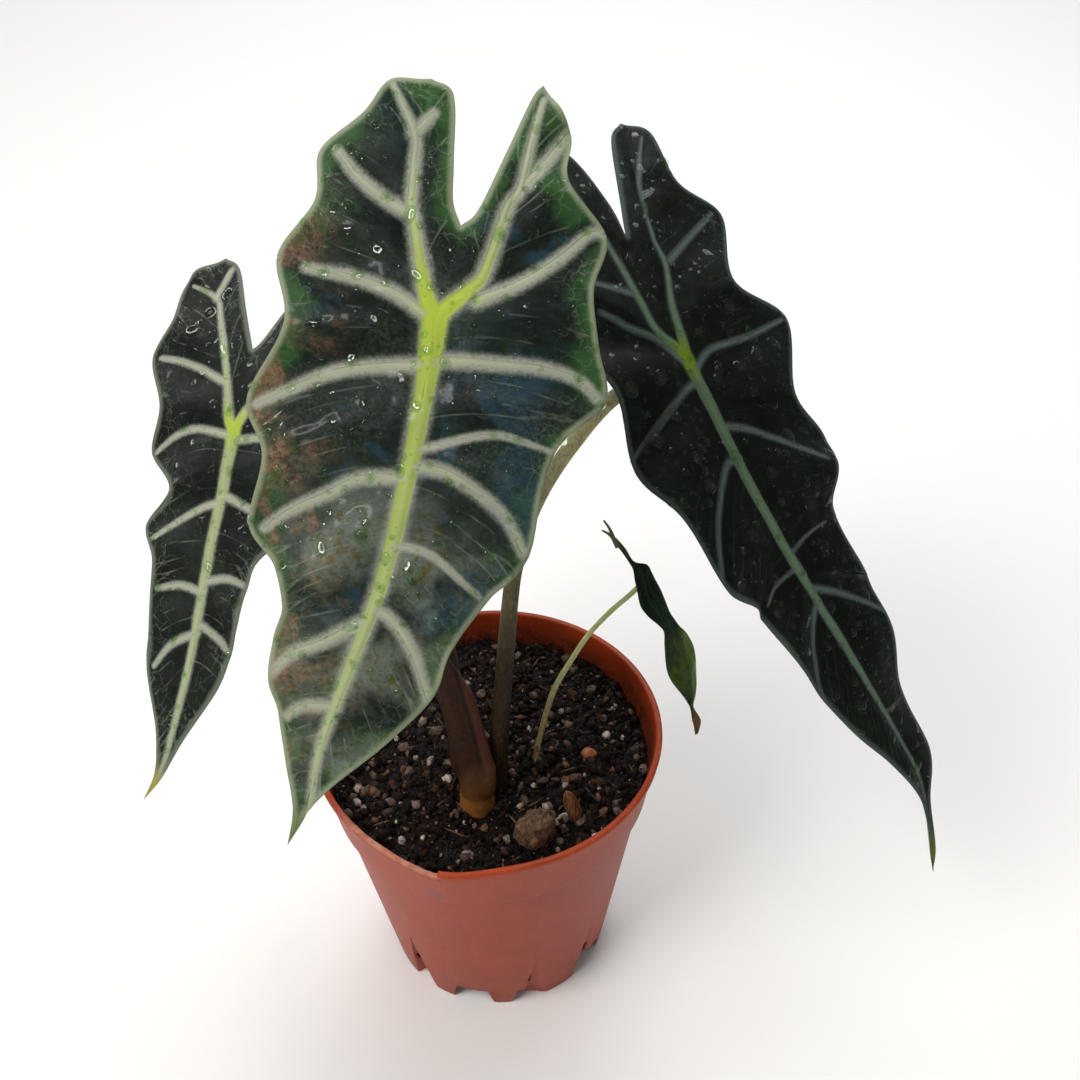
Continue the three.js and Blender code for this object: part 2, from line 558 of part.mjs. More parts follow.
// One blade as a sheet of rows, closed into a solid with its raised ribs on both faces.
function bladeShape(leaf) {
  const frame = leafFrame(leaf);
  const vertices = [];
  const faces = [];
  const shares = ROW_SHARES;
  const tipY = leaf.midrib[0][1];

  function addVertex(row, share, spineHeight) {
    const u = share;
    const a = (1 - u) * (1 - u);
    const b = 2 * u * (1 - u);
    const x = a * row.root.x + b * row.middle.x + u * u * row.end.x;
    const y = a * row.root.y + b * row.middle.y + u * u * row.end.y;
    const swell = Math.sin(Math.PI * row.part) ** 2;
    const quilt = QUILT_HEIGHT * swell * Math.sin(Math.PI * u) * clamp(row.reach / FULL_QUILT_REACH, 0, 1);
    const lift = -row.wave * u * u * Math.cos(2 * Math.PI * row.part) + quilt;
    const rib = row.ribbed ? 1 - u : 0;
    vertices.push({
      point: onLeaf(leaf, frame, x, y, lift),
      normal: leafNormal(leaf, frame, y),
      up: BLADE_THICKNESS / 2 + Math.max(spineHeight * MIDRIB_LIFT, rib * VEIN_LIFT),
      down: BLADE_THICKNESS / 2 + Math.max(spineHeight * MIDRIB_KEEL, rib * VEIN_KEEL),
    });
    return vertices.length - 1;
  }

  function rowVertices(row, first) {
    return shares.map((share, k) => {
      if (k === 0 && first !== undefined) return first;
      const near = clamp(MIDRIB_HALF_WIDTH / Math.max(row.reach, 0.1), 0, 0.3);
      return addVertex(row, k === 1 ? near : share, k === 0 ? 1 : 0);
    });
  }

  function join(rowA, rowB, flipped) {
    for (let k = 0; k + 1 < shares.length; k += 1) {
      const [near, far] = [rowA[k], rowB[k + 1]];
      const [second, fourth] = flipped ? [rowA[k + 1], rowB[k]] : [rowB[k], rowA[k + 1]];
      faces.push([near, second, far], [near, far, fourth]);
    }
  }

  function closeTo(point, row, flipped) {
    for (let k = 0; k + 1 < shares.length; k += 1) {
      faces.push(flipped ? [point, row[k], row[k + 1]] : [point, row[k + 1], row[k]]);
    }
  }

  const sides = ['left', 'right'].map((name) => {
    const side = leaf[name];
    const lobeY = side.lobeVein[side.lobeVein.length - 1][1];
    const outer = curveThrough(side.margin);
    const inner = curveThrough(side.inner);
    const spine = spineThrough([...leaf.midrib, ...side.lobeVein.slice(1)]);
    return {
      flipped: name === 'left',
      lobeY,
      lobeTip: side.margin[side.margin.length - 1],
      outerRow: rowMap(spine, outer, side.veins, [tipY, 0, lobeY, side.margin.length - 1], leaf.wave),
      innerRow: rowMap(spine, inner, side.innerVeins, [0, 0, lobeY, side.inner.length - 1], 0),
      outerRoots: side.veins.map((vein) => vein[0]),
      innerRoots: side.innerVeins.map((vein) => vein[0]),
    };
  });

  const roots = sides.flatMap((side) => side.outerRoots);
  const midribRows = rowStations(tipY, 0, roots);
  const tip = addVertex(sides[0].outerRow(tipY), 0, TIP_RIB);
  const spineVertices = midribRows.slice(1).map((y) => addVertex(sides[0].outerRow(y), 0, 1));
  const notchRow = rowVertices(sides[0].innerRow(0), spineVertices[spineVertices.length - 1]);

  for (const side of sides) {
    const rows = midribRows.slice(1).map((y, k) => rowVertices(side.outerRow(y), spineVertices[k]));
    const lobeRows = rowStations(0, side.lobeY, [...side.outerRoots, ...side.innerRoots]).slice(1, -1);
    const lobeSpine = lobeRows.map((y) => addVertex(side.outerRow(y), 0, LOBE_RIB));
    lobeRows.forEach((y, k) => rows.push(rowVertices(side.outerRow(y), lobeSpine[k])));
    const innerRows = [notchRow, ...lobeRows.map((y, k) => rowVertices(side.innerRow(y), lobeSpine[k]))];
    const lobeEnd = new THREE.Vector3(...side.lobeTip, 0);
    const lobeTip = addVertex({ ...side.outerRow(side.lobeY), root: lobeEnd }, 0, TIP_RIB);
    closeTo(tip, rows[0], !side.flipped);
    for (let k = 0; k + 1 < rows.length; k += 1) join(rows[k], rows[k + 1], side.flipped);
    closeTo(lobeTip, rows[rows.length - 1], side.flipped);
    for (let k = 0; k + 1 < innerRows.length; k += 1) join(innerRows[k], innerRows[k + 1], !side.flipped);
    closeTo(lobeTip, innerRows[innerRows.length - 1], !side.flipped);
  }
  return closeSheet(vertices, faces);
}

// Gives a sheet its thickness, with the same triangles on both faces and a wall round its edge.
function closeSheet(vertices, faces) {
  const count = vertices.length;
  const points = vertices.map((v) => v.point.clone().addScaledVector(v.normal, v.up));
  points.push(...vertices.map((v) => v.point.clone().addScaledVector(v.normal, -v.down)));
  const all = [];
  const edges = new Map();
  for (const [a, b, c] of faces) {
    all.push([a, b, c], [count + a, count + c, count + b]);
    for (const [from, to] of [[a, b], [b, c], [c, a]]) {
      if (edges.has(`${to}_${from}`)) edges.delete(`${to}_${from}`);
      else edges.set(`${from}_${to}`, [from, to]);
    }
  }
  for (const [from, to] of edges.values()) {
    all.push([from, count + from, count + to], [from, count + to, to]);
  }
  return geometryFrom(points, all);
}

// The young leaf's ribbon: across its width it is turned by the twist of each station.
function youngLeafShape() {
  const { stations, thickness, tails } = YOUNG_LEAF;
  const vertices = [];
  const faces = [];
  const down = new THREE.Vector3(0.42, -0.56, -0.71).normalize();
  const side = new THREE.Vector3(0, 0, 1).cross(down).normalize();
  const rows = stations.map(([x, y, z, width, twist]) => {
    const across = side.clone().applyAxisAngle(down, radians(twist));
    const normal = down.clone().cross(across).normalize();
    return [-0.5, 0, 0.5].map((share) => {
      const point = new THREE.Vector3(x, y, z).addScaledVector(across, share * width);
      vertices.push({ point, normal, up: thickness / 2, down: thickness / 2 });
      return vertices.length - 1;
    });
  });
  for (let k = 0; k + 1 < rows.length; k += 1) {
    for (let j = 0; j < 2; j += 1) {
      const [a, b, c, d] = [rows[k][j], rows[k][j + 1], rows[k + 1][j + 1], rows[k + 1][j]];
      faces.push([a, b, c], [a, c, d]);
    }
  }
  const ribbon = toSolid(closeSheet(vertices, faces));
  const start = new THREE.Vector3(...tails[0]);
  const tailSolids = tails.slice(1).map((end) => {
    const tail = [start.clone().addScaledVector(down, 3), start, new THREE.Vector3(...end)];
    return toSolid(taperedTube(tail, [0.9, 0.8, 0.35], 6, 6));
  });
  return fromSolid(tailSolids.reduce((solid, tail) => solid.add(tail), ribbon));
}

// A round tube along a curve through the points, with its own radius at each of them.
function taperedTube(points, radii, sides, steps, wing = () => 0) {
  const curve = new THREE.CatmullRomCurve3(points, false, 'centripetal');
  const frames = curve.computeFrenetFrames(steps, false);
  const rings = [];
  for (let step = 0; step <= steps; step += 1) {
    const share = step / steps;
    const t = curve.getUtoTmapping(share);
    const centre = curve.getPoint(t);
    const spot = t * (points.length - 1);
    const k = Math.min(Math.floor(spot), points.length - 2);
    const radius = lerp(radii[k], radii[k + 1], spot - k);
    rings.push(Array.from({ length: sides }, (_, j) => {
      const angle = (2 * Math.PI * j) / sides;
      const out = frames.normals[step].clone().multiplyScalar(Math.cos(angle))
        .addScaledVector(frames.binormals[step], Math.sin(angle));
      return centre.clone().addScaledVector(out, radius + wing(share, out));
    }));
  }
  return ringStack(points[0].clone(), rings, points[points.length - 1].clone());
}

// The petiole of a leaf, grown by a clearance for the hole that it stands in.
function petioleShape(stations, end, grow = 0, wing = undefined) {
  const points = stations.map(([x, y, z]) => new THREE.Vector3(x, y, z - grow));
  const radii = stations.map(([, , , radius]) => radius + grow);
  points.push(...end);
  radii.push(...end.map(() => radii[radii.length - 1]));
  return taperedTube(points, radii, PETIOLE_SIDES, PETIOLE_STEPS * points.length, wing);
}

// Where a petiole meets its blade: it comes up square to the underside.
function underBlade(leaf) {
  const frame = leafFrame(leaf);
  const foot = BLADE_THICKNESS / 2 + MIDRIB_KEEL + GAP;
  return [PETIOLE_RUN, foot].map((back) => onLeaf(leaf, frame, 0, PETIOLE_END, -back));
}

// The base of the left petiole is a sheath: a thin wing that runs up its right side to a point.
function sheathWing(share, out) {
  const azimuth = radians(SHEATH_AZIMUTH);
  const towards = Math.max(0, out.x * Math.cos(azimuth) + out.y * Math.sin(azimuth));
  const height = clamp(share / 0.06, 0, 1) * clamp((SHEATH_TOP - share) / 0.12, 0, 1);
  return SHEATH_WING * height * towards ** 6;
}

function cormShape(grow = 0) {
  const { x, y, radius, top, bottom } = CORM;
  const profile = [
    [0, bottom - grow], [radius * 0.6, bottom - grow], [radius * 0.95, bottom + 4], [radius, bottom + 9],
    [radius * 0.95, top - 3.5], [radius * 0.8, top], [0, top],
  ];
  const outline = profile.map(([r, z]) => new THREE.Vector2(r > 0 ? r + grow : 0, z));
  return new THREE.LatheGeometry(outline, 14).rotateX(Math.PI / 2).translate(x, y, 0);
}

// A rough lump: a ball of triangles with each corner drawn in or out.
function lumpShape({ centre, size, turn, seed, rough }, grow = 0) {
  const ball = new THREE.IcosahedronGeometry(1, 1);
  ball.deleteAttribute('normal');
  ball.deleteAttribute('uv');
  const lump = mergeVertices(ball, 1e-3);
  const random = seeded(seed);
  const positions = lump.attributes.position;
  const corner = new THREE.Vector3();
  for (let k = 0; k < positions.count; k += 1) {
    corner.fromBufferAttribute(positions, k);
    const reach = 1 + rough * (random() - 0.5) * 2;
    corner.multiplyScalar(reach);
    const [x, y, z] = corner.toArray().map((value, axis) => value * (size[axis] + grow));
    positions.setXYZ(k, x, y, z);
  }
  return lump.rotateY(radians(turn)).translate(...centre);
}

const group = new THREE.Group();

function add(name, geometry, color, roughness) {
  const material = new THREE.MeshStandardMaterial({ color, roughness, metalness: 0 });
  const mesh = new THREE.Mesh(closed(geometry), material);
  mesh.name = name;
  group.add(mesh);
}

const youngEnd = [new THREE.Vector3(48.8, 16.2, 149.9), new THREE.Vector3(52.8, 16.4, 154.6)];
const petioles = [
  ['petiole_front', PETIOLES.front, underBlade(FRONT_LEAF), COLOURS.petiole],
  ['petiole_left', PETIOLES.left, underBlade(LEFT_LEAF), COLOURS.petiole],
  ['petiole_right', PETIOLES.right, underBlade(RIGHT_LEAF), COLOURS.olive],
  ['petiole_young', PETIOLES.young, youngEnd, COLOURS.young],
];
const lumps = [
  ['bark_lump', BARK_LUMP, COLOURS.bark],
  ['bark_chip', BARK_CHIP, COLOURS.chip],
  ['clay_stone', STONE, COLOURS.stone],
];

const holes = petioles.filter(([name]) => name !== 'petiole_left')
  .map(([, stations, end]) => petioleShape(stations, end, GAP));
holes.push(cormShape(GAP));
for (const [, lump] of lumps) holes.push(lumpShape(lump, GAP + 0.1));

add('pot', potShape(), COLOURS.pot, 0.45);
add('soil', soilShape(holes), COLOURS.soil, 0.95);
add('corm', cormShape(), COLOURS.corm, 0.6);
for (const [name, stations, end, color] of petioles) {
  const wing = name === 'petiole_left' ? sheathWing : undefined;
  add(name, petioleShape(stations, end, 0, wing), color, 0.55);
}
add('leaf_front', bladeShape(FRONT_LEAF), COLOURS.blade, 0.3);
add('leaf_left', bladeShape(LEFT_LEAF), COLOURS.blade, 0.3);
add('leaf_right', bladeShape(RIGHT_LEAF), COLOURS.darkBlade, 0.5);
add('leaf_young', youngLeafShape(), COLOURS.youngBlade, 0.4);
for (const [name, lump, color] of lumps) add(name, lumpShape(lump), color, 0.9);

export default group;
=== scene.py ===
import math

import bmesh
import bpy
import numpy as np
from mathutils import Matrix, Vector
from mathutils.kdtree import KDTree


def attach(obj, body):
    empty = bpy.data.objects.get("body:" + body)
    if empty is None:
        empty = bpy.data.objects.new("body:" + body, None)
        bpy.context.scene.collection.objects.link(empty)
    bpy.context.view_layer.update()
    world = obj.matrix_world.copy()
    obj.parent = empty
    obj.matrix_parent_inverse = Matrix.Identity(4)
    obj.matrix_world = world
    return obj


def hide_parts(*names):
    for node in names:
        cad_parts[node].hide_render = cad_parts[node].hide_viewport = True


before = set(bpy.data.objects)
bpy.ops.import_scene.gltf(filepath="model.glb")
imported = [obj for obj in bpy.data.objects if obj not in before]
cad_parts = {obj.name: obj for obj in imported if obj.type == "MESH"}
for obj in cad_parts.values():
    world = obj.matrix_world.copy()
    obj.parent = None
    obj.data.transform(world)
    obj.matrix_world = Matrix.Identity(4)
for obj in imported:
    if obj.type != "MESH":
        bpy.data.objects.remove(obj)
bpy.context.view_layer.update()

# Camera
# The photograph looks down on the plant from the front, about 39 degrees above level, from
# some 53 cm away, and the camera is turned a degree and a half on its own axis.
CAMERA_PLACE = (0.019548, -0.305182, 0.438087)
CAMERA_PITCH = math.radians(39.36)
CAMERA_ROLL = math.radians(-1.45)
FOCAL_LENGTH_IN_PIXELS = 1300
PHOTO_SIDE_IN_PIXELS = 1080
SENSOR_WIDTH = 36


def in_scene(name, data):
    """A new object in the scene, at the origin."""
    piece = bpy.data.objects.new(name, data)
    bpy.context.scene.collection.objects.link(piece)
    return piece


ahead = Vector((0, math.cos(CAMERA_PITCH), -math.sin(CAMERA_PITCH)))
level = Vector((1, 0, 0))
upright = level.cross(ahead)
sideways = math.cos(CAMERA_ROLL) * level + math.sin(CAMERA_ROLL) * upright
overhead = -math.sin(CAMERA_ROLL) * level + math.cos(CAMERA_ROLL) * upright
camera_data = bpy.data.cameras.new("camera")
camera_data.lens = FOCAL_LENGTH_IN_PIXELS / PHOTO_SIDE_IN_PIXELS * SENSOR_WIDTH
camera_data.sensor_width = SENSOR_WIDTH
camera_data.clip_start = 0.01
camera = in_scene("camera", camera_data)
camera.matrix_world = Matrix.Translation(CAMERA_PLACE) @ Matrix((
    (sideways[0], overhead[0], -ahead[0], 0),
    (sideways[1], overhead[1], -ahead[1], 0),
    (sideways[2], overhead[2], -ahead[2], 0),
    (0, 0, 0, 1),
))
bpy.context.scene.camera = camera

# Pot
# The nursery pot is one injection moulding in thin terracotta-coloured plastic: a tapered wall
# with a plain band above a small step, a thick lip that is broken away at the front left,
# V-shaped folds low in the wall, and a skirt of arches and feet under a raised floor edge.
MM = 0.001
POT_HEIGHT = 105
RIM_RADIUS = 60
LIP_WIDTH = 2.6
LIP_HEIGHT = 3.5
LIP_FLARE = 0.9
BAND_BOTTOM = 82
BAND_RADIUS = 55.4
BODY_TOP_RADIUS = 53.9
BASE_RADIUS = 41
WALL = 1.4
FOOT_WIDTH = 2.6
FLOOR_BOTTOM = 2
FLOOR_RADIUS = 27
RAMP_BOTTOM = 10.6
BREAK_FROM = -152
BREAK_TO = -104
BREAK_DROP = 4.6
BREAK_SLOPE = 26
BULGE_AZIMUTH = -103
BULGE_DEPTH = 2.6
BULGE_SPREAD = 13
FLUTES = [(-131, 1.5), (-71, 1.5), (-41, 4.5), (19, 1.5), (79, 1.5), (139, 4.5)]
FLUTE_TOP = 35
FLUTE_HALF_ANGLE = 6.5
FLUTE_DEPTH = 3.2
FLUTE_FADE = 14
SLOT_HEIGHTS = (11, 17)
SLOT_REACH = (34, 50)
SLOT_OFFSET = -4.2
COLUMN_STEP = 1.25
SKIRT_TOP = 12
ARCH_ROUNDING = 2.4
ARCHES = [
    (-103, 14.5, 10), (-79, 5, 9), (-37, 15, 10), (-11, 14.5, 10), (11, 5, 9), (49, 14.5, 10),
    (71, 5, 9), (109, 14.5, 10), (143, 15, 10), (171, 14.5, 10),
]


def linear(code):
    """The linear colour of a six-digit sRGB code."""
    parts = [int(code[k:k + 2], 16) / 255 for k in (0, 2, 4)]
    return tuple(p / 12.92 if p <= 0.04045 else ((p + 0.055) / 1.055) ** 2.4 for p in parts) + (1,)


def smooth_step(value, low, high):
    share = np.clip((value - low) / (high - low), 0, 1)
    return share * share * (3 - 2 * share)


def value_noise(points, seed):
    """Smooth noise from -1 to 1 at an array of 3-D points, one unit to a cell."""
    cell = np.floor(points).astype(np.int64)
    inside = points - cell
    weight = inside * inside * (3 - 2 * inside)
    total = np.zeros(len(points))
    for corner in np.ndindex(2, 2, 2):
        place = cell + corner
        x, y, z = place.T
        mixed = x * 374761393 + y * 668265263 + z * 2147483647 + seed * 982451653
        mixed = (mixed ^ (mixed >> 13)) * 1274126177 & 0x7FFFFFFF
        mixed = (mixed ^ (mixed >> 16)) & 0xFFFF
        share = np.prod(np.where(np.array(corner) == 1, weight, 1 - weight), axis=1)
        total += share * (mixed / 0x7FFF - 1)
    return total


def rough_noise(points, seed, octaves=3):
    total = np.zeros(len(points))
    for octave in range(octaves):
        total += value_noise(points * 2 ** octave, seed + octave) / 2 ** octave
    return total


def make_piece(name, points, faces, values=None, material_index=None):
    """A smooth mesh object in metres from points in mm, with float attributes on its points."""
    mesh = bpy.data.meshes.new(name)
    mesh.from_pydata([tuple(p) for p in np.asarray(points) * MM], [], [tuple(f) for f in faces])
    mesh.polygons.foreach_set("use_smooth", [True] * len(mesh.polygons))
    if material_index is not None:
        mesh.polygons.foreach_set("material_index", material_index)
    for key, numbers in (values or {}).items():
        layer = mesh.attributes.new(key, "FLOAT", "POINT")
        layer.data.foreach_set("value", np.asarray(numbers, dtype=np.float32))
    mesh.validate()
    return in_scene(name, mesh)


def stack_faces(rings, count):
    """Faces of a stack of closed rings between two poles: pole, rings, pole."""
    faces = []
    last = 1 + rings * count
    for k in range(count):
        after = (k + 1) % count
        faces.append((0, 1 + after, 1 + k))
        faces.append((last, last - count + k, last - count + after))
        for ring in range(rings - 1):
            base = 1 + ring * count
            faces.append((base + k, base + after, base + count + after, base + count + k))
    return faces


class Finish:
    """A tree of nodes under construction: short calls that add and join nodes."""

    def __init__(self, name, tree=None):
        self.material = None
        self.colour = None
        if tree is None:
            self.material = bpy.data.materials.new(name)
            self.material.use_nodes = True
            tree = self.material.node_tree
            self.surface = tree.nodes["Principled BSDF"]
        self.tree = tree

    def add(self, kind, sockets=None, **settings):
        node = self.tree.nodes.new(kind)
        for key, value in settings.items():
            setattr(node, key, value)
        for key, value in (sockets or {}).items():
            self.put(node.inputs[key], value)
        return node

    def put(self, socket, value):
        """Joins a node's output to a socket, or sets the socket; a colour may be its code."""
        if isinstance(value, bpy.types.NodeSocket):
            self.tree.links.new(value, socket)
        elif isinstance(value, str) and socket.type == "RGBA":
            socket.default_value = linear(value)
        else:
            socket.default_value = value

    def set(self, **sockets):
        for key, value in sockets.items():
            self.put(self.surface.inputs[key.replace("_", " ")], value)

    def attribute(self, name):
        return self.add("ShaderNodeAttribute", attribute_name=name).outputs["Fac"]

    def place(self):
        return self.add("ShaderNodeTexCoord").outputs["Object"]

    def stretched(self, scale, turn=(0.0, 0.0, 0.0)):
        """Object coordinates scaled by axis, for a pattern that runs one way."""
        sockets = {"Vector": self.place(), "Rotation": turn, "Scale": scale}
        return self.add("ShaderNodeMapping", sockets).outputs["Vector"]

    def on_pair(self, operation, first, second):
        """A node that reckons with two vectors."""
        node = self.add("ShaderNodeVectorMath", operation=operation)
        self.put(node.inputs[0], first)
        self.put(node.inputs[1], second)
        return node

    def scaled(self, vector, scale):
        sockets = {"Vector": vector, "Scale": scale}
        return self.add("ShaderNodeVectorMath", sockets, operation="SCALE").outputs["Vector"]

    def along_axis(self, axis):
        return self.add("ShaderNodeSeparateXYZ", {"Vector": self.place()}).outputs[axis]

    def give(self, **values):
        """Sends values to a group's named outputs."""
        for key, value in values.items():
            self.put(self.outputs[key], value)

    def math(self, operation, *values):
        node = self.add("ShaderNodeMath", operation=operation)
        for socket, value in zip(node.inputs, values):
            self.put(socket, value)
        return node.outputs[0]

    def plus(self, first, second):
        return self.math("ADD", first, second)

    def less(self, first, second):
        return self.math("SUBTRACT", first, second)

    def times(self, first, second):
        return self.math("MULTIPLY", first, second)

    def ramp(self, value, low, high, bottom=0.0, top=1.0):
        """A smooth share of value between low and high, spread from bottom to top."""
        sockets = {"Value": value, "From Min": low, "From Max": high, "To Min": bottom, "To Max": top}
        return self.add("ShaderNodeMapRange", sockets, interpolation_type="SMOOTHSTEP").outputs["Result"]

    def mix(self, share, first, second):
        node = self.add("ShaderNodeMix", data_type="RGBA")
        self.put(node.inputs["Factor"], share)
        self.put(node.inputs[6], first)
        self.put(node.inputs[7], second)
        return node.outputs[2]

    def lay(self, share, colour, strength=None):
        """Lays a colour over the finish's own where the share says, thinned by the strength."""
        if strength is not None:
            share = self.times(share, strength)
        self.colour = self.mix(share, self.colour, colour)

    def noise(self, scale, detail=3.0, roughness=0.5, vector=None, distortion=0.0):
        node = self.add("ShaderNodeTexNoise", {
            "Scale": scale, "Detail": detail, "Roughness": roughness, "Distortion": distortion,
            "Vector": vector if vector is not None else self.place(),
        })
        return node.outputs["Fac"]

    def mottled(self, scale, detail, roughness, low, high, bottom=0.0, top=1.0):
        """Patches: a soft share of a noise between low and high, spread from bottom to top."""
        return self.ramp(self.noise(scale, detail, roughness), low, high, bottom, top)

    def cells(self, scale, vector):
        """Distance to the nearest border of a net of cells."""
        sockets = {"Scale": scale, "Vector": vector}
        node = self.add("ShaderNodeTexVoronoi", sockets, feature="DISTANCE_TO_EDGE")
        return node.outputs["Distance"]

    def bump(self, height, distance, strength=1.0):
        sockets = {"Height": height, "Distance": distance, "Strength": strength}
        return self.add("ShaderNodeBump", sockets).outputs["Normal"]

    def effect(self, group, **sockets):
        node = self.add("ShaderNodeGroup", node_tree=group)
        for key, value in sockets.items():
            self.put(node.inputs[key.replace("_", " ")], value)
        return node


def effect_group(name, inputs, outputs):
    """A shader node group with named number inputs and outputs, and the finish that fills it."""
    group = bpy.data.node_groups.new(name, "ShaderNodeTree")
    for key, value in inputs.items():
        socket = group.interface.new_socket(name=key, in_out="INPUT", socket_type="NodeSocketFloat")
        socket.default_value = value
    for key in outputs:
        group.interface.new_socket(name=key, in_out="OUTPUT", socket_type="NodeSocketFloat")
    finish = Finish(name, tree=group)
    finish.inputs = finish.add("NodeGroupInput").outputs
    finish.outputs = finish.add("NodeGroupOutput").inputs
    return group, finish


# Dust and dirt that gather in patches: a mask of soft patches broken up by fine specks.
grime, made = effect_group("grime", {"Scale": 30.0, "Amount": 0.5, "Speck": 900.0}, ("Mask", "Specks"))
where = made.place()
patches = made.noise(made.inputs["Scale"], 4.0, 0.6, where)
grains = made.noise(made.inputs["Speck"], 2.0, 0.5, where)
threshold = made.less(0.95, made.times(made.inputs["Amount"], 0.6))
broken = made.plus(patches, made.times(made.less(grains, 0.5), 0.5))
made.give(Mask=made.ramp(broken, made.less(threshold, 0.15), made.plus(threshold, 0.2)),
          Specks=made.ramp(grains, 0.66, 0.72))


def pot_columns():
    """Azimuth, slant and depth of each column round the pot, in order.

    A fold's slants run from one side to the other: steep on the left, easy on the right.
    """
    columns = []
    for azimuth in np.arange(-180, 180, COLUMN_STEP):
        if all(abs(azimuth - flute) > FLUTE_HALF_ANGLE * 1.35 for flute, _ in FLUTES):
            columns.append((azimuth, 0, 0))
    slants = [
        (-1.2, 0), (-1.13, 0.02), (-1.08, 0.15), (-1.03, 0.5), (-0.99, 0.85), (-0.95, 1), (-0.86, 1),
        (-0.6, 0.97), (-0.3, 0.9), (0, 0.78), (0.25, 0.62), (0.5, 0.4), (0.75, 0.18), (1, 0.03), (1.2, 0),
    ]
    for flute, _ in FLUTES:
        columns += [(flute, slant, depth) for slant, depth in slants]
    columns.append((BREAK_TO - 0.35, 0, 0))
    columns.append((BREAK_TO - 0.05, 0, 0))
    columns.sort(key=lambda column: column[0] + column[1] * FLUTE_HALF_ANGLE)
    return [np.array(part, dtype=float) for part in zip(*columns)]


column_azimuth, column_slant, column_depth = pot_columns()


def outer_radius(z):
    below = BASE_RADIUS + (BODY_TOP_RADIUS - BASE_RADIUS) * z / BAND_BOTTOM
    flare = (RIM_RADIUS - LIP_FLARE - BAND_RADIUS) * (z - BAND_BOTTOM) / (POT_HEIGHT - BAND_BOTTOM)
    above = BAND_RADIUS + flare
    step = smooth_step(z, BAND_BOTTOM - 0.1, BAND_BOTTOM + 0.9)
    return below * (1 - step) + above * step


def wall_ring(z, inwards, extra=0.0):
    """A ring of wall points: z may be a number or one height for each column."""
    z = np.broadcast_to(np.asarray(z, dtype=float), column_azimuth.shape)
    share = np.clip(1 - z / FLUTE_TOP, 0.06, 1)
    spread = np.maximum(share, smooth_step(z, FLUTE_TOP, FLUTE_TOP + FLUTE_FADE))
    azimuth = column_azimuth + column_slant * FLUTE_HALF_ANGLE * spread
    recess = np.where(z < FLUTE_TOP, column_depth * FLUTE_DEPTH * share, 0)
    bulge = BULGE_DEPTH * np.exp(-((azimuth - BULGE_AZIMUTH) / BULGE_SPREAD) ** 2) * (z / POT_HEIGHT) ** 3
    radius = outer_radius(z) + extra + bulge - recess - inwards
    angle = np.radians(azimuth)
    return np.stack([radius * np.cos(angle), radius * np.sin(angle), z], axis=1)


def lip_loss():
    inside = (column_azimuth >= BREAK_FROM) & (column_azimuth < BREAK_TO)
    return np.where(inside, np.clip((column_azimuth - BREAK_FROM) / BREAK_SLOPE, 0, 1) ** 0.7, 0)


def arch_heights():
    """Height of the skirt's lower edge at each column."""
    azimuth = column_azimuth + column_slant * FLUTE_HALF_ANGLE
    height = np.zeros(len(azimuth))
    for centre, width, top in ARCHES:
        off = np.abs((azimuth - centre + 180) % 360 - 180) * math.radians(1) * BASE_RADIUS
        height = np.maximum(height, top * smooth_step(width / 2 + 0.6 - off, 0, ARCH_ROUNDING))
    return height


def floor_ring(z):
    angle = np.radians(column_azimuth + column_slant * FLUTE_HALF_ANGLE)
    x, y = FLOOR_RADIUS * np.cos(angle), FLOOR_RADIUS * np.sin(angle)
    return np.stack([x, y, np.full(len(angle), z)], axis=1)


edge_height = arch_heights()
loss = lip_loss()
jag = value_noise(np.stack([column_azimuth * 0.9, 0 * column_azimuth, 0 * column_azimuth], axis=1), 5)
rim_height = POT_HEIGHT - loss * BREAK_DROP + np.where(loss > 0.4, 0.28 * jag, 0)


def lip_ring(height, inwards, flare):
    return wall_ring(rim_height + height, inwards, flare * (1 - loss))


skirt = [edge_height + (SKIRT_TOP - edge_height) * share for share in (0.08, 0.25, 0.5, 0.75)]
outer_heights = [
    SKIRT_TOP, 15, 18, 21, 24, 27, 29.5, 31.5, 33, 34, 35, 36.5, 39, 43, 48, 54, 60, 66, 72, 77, 80,
    81.6, 81.95, 82.2, 82.5, 82.9, 83.6, 86, 90, 95,
]
inner_heights = [98, 94, 90, 86, 83.6, 82.6, 81.6, 79, 70, 60, 48, 39, 35, 33, 30, 26, 22, 18, 15, 13]
pot_rings = [floor_ring(FLOOR_BOTTOM), wall_ring(RAMP_BOTTOM, FOOT_WIDTH)]
pot_rings += [wall_ring(edge_height + 0.6, FOOT_WIDTH), wall_ring(edge_height, FOOT_WIDTH - 0.5)]
pot_rings += [wall_ring(edge_height, 0.5), wall_ring(edge_height + 0.5, 0)]
pot_rings += [wall_ring(z, 0) for z in skirt] + [wall_ring(z, 0) for z in outer_heights]
lip_profile = [
    (-LIP_HEIGHT - 0.9, 0, 0), (-LIP_HEIGHT - 0.25, 0, 0.1), (-LIP_HEIGHT + 0.1, 0, LIP_FLARE * 0.75),
    (-LIP_HEIGHT + 0.5, 0, LIP_FLARE), (-0.9, 0, LIP_FLARE), (-0.35, 0.12, LIP_FLARE),
    (-0.08, 0.4, LIP_FLARE), (0, 0.8, LIP_FLARE), (0, LIP_WIDTH - 1.0, LIP_FLARE),
    (-0.1, LIP_WIDTH - 0.6, LIP_FLARE), (-0.5, LIP_WIDTH - 0.35, LIP_FLARE),
    (-2.2, LIP_WIDTH - 0.8, LIP_FLARE * 0.6),
]
pot_rings += [lip_ring(*place) for place in lip_profile]
first_inner = len(pot_rings)
pot_rings += [wall_ring(z, WALL) for z in inner_heights] + [wall_ring(RAMP_BOTTOM + WALL, WALL)]
pot_rings += [floor_ring(FLOOR_BOTTOM + WALL)]
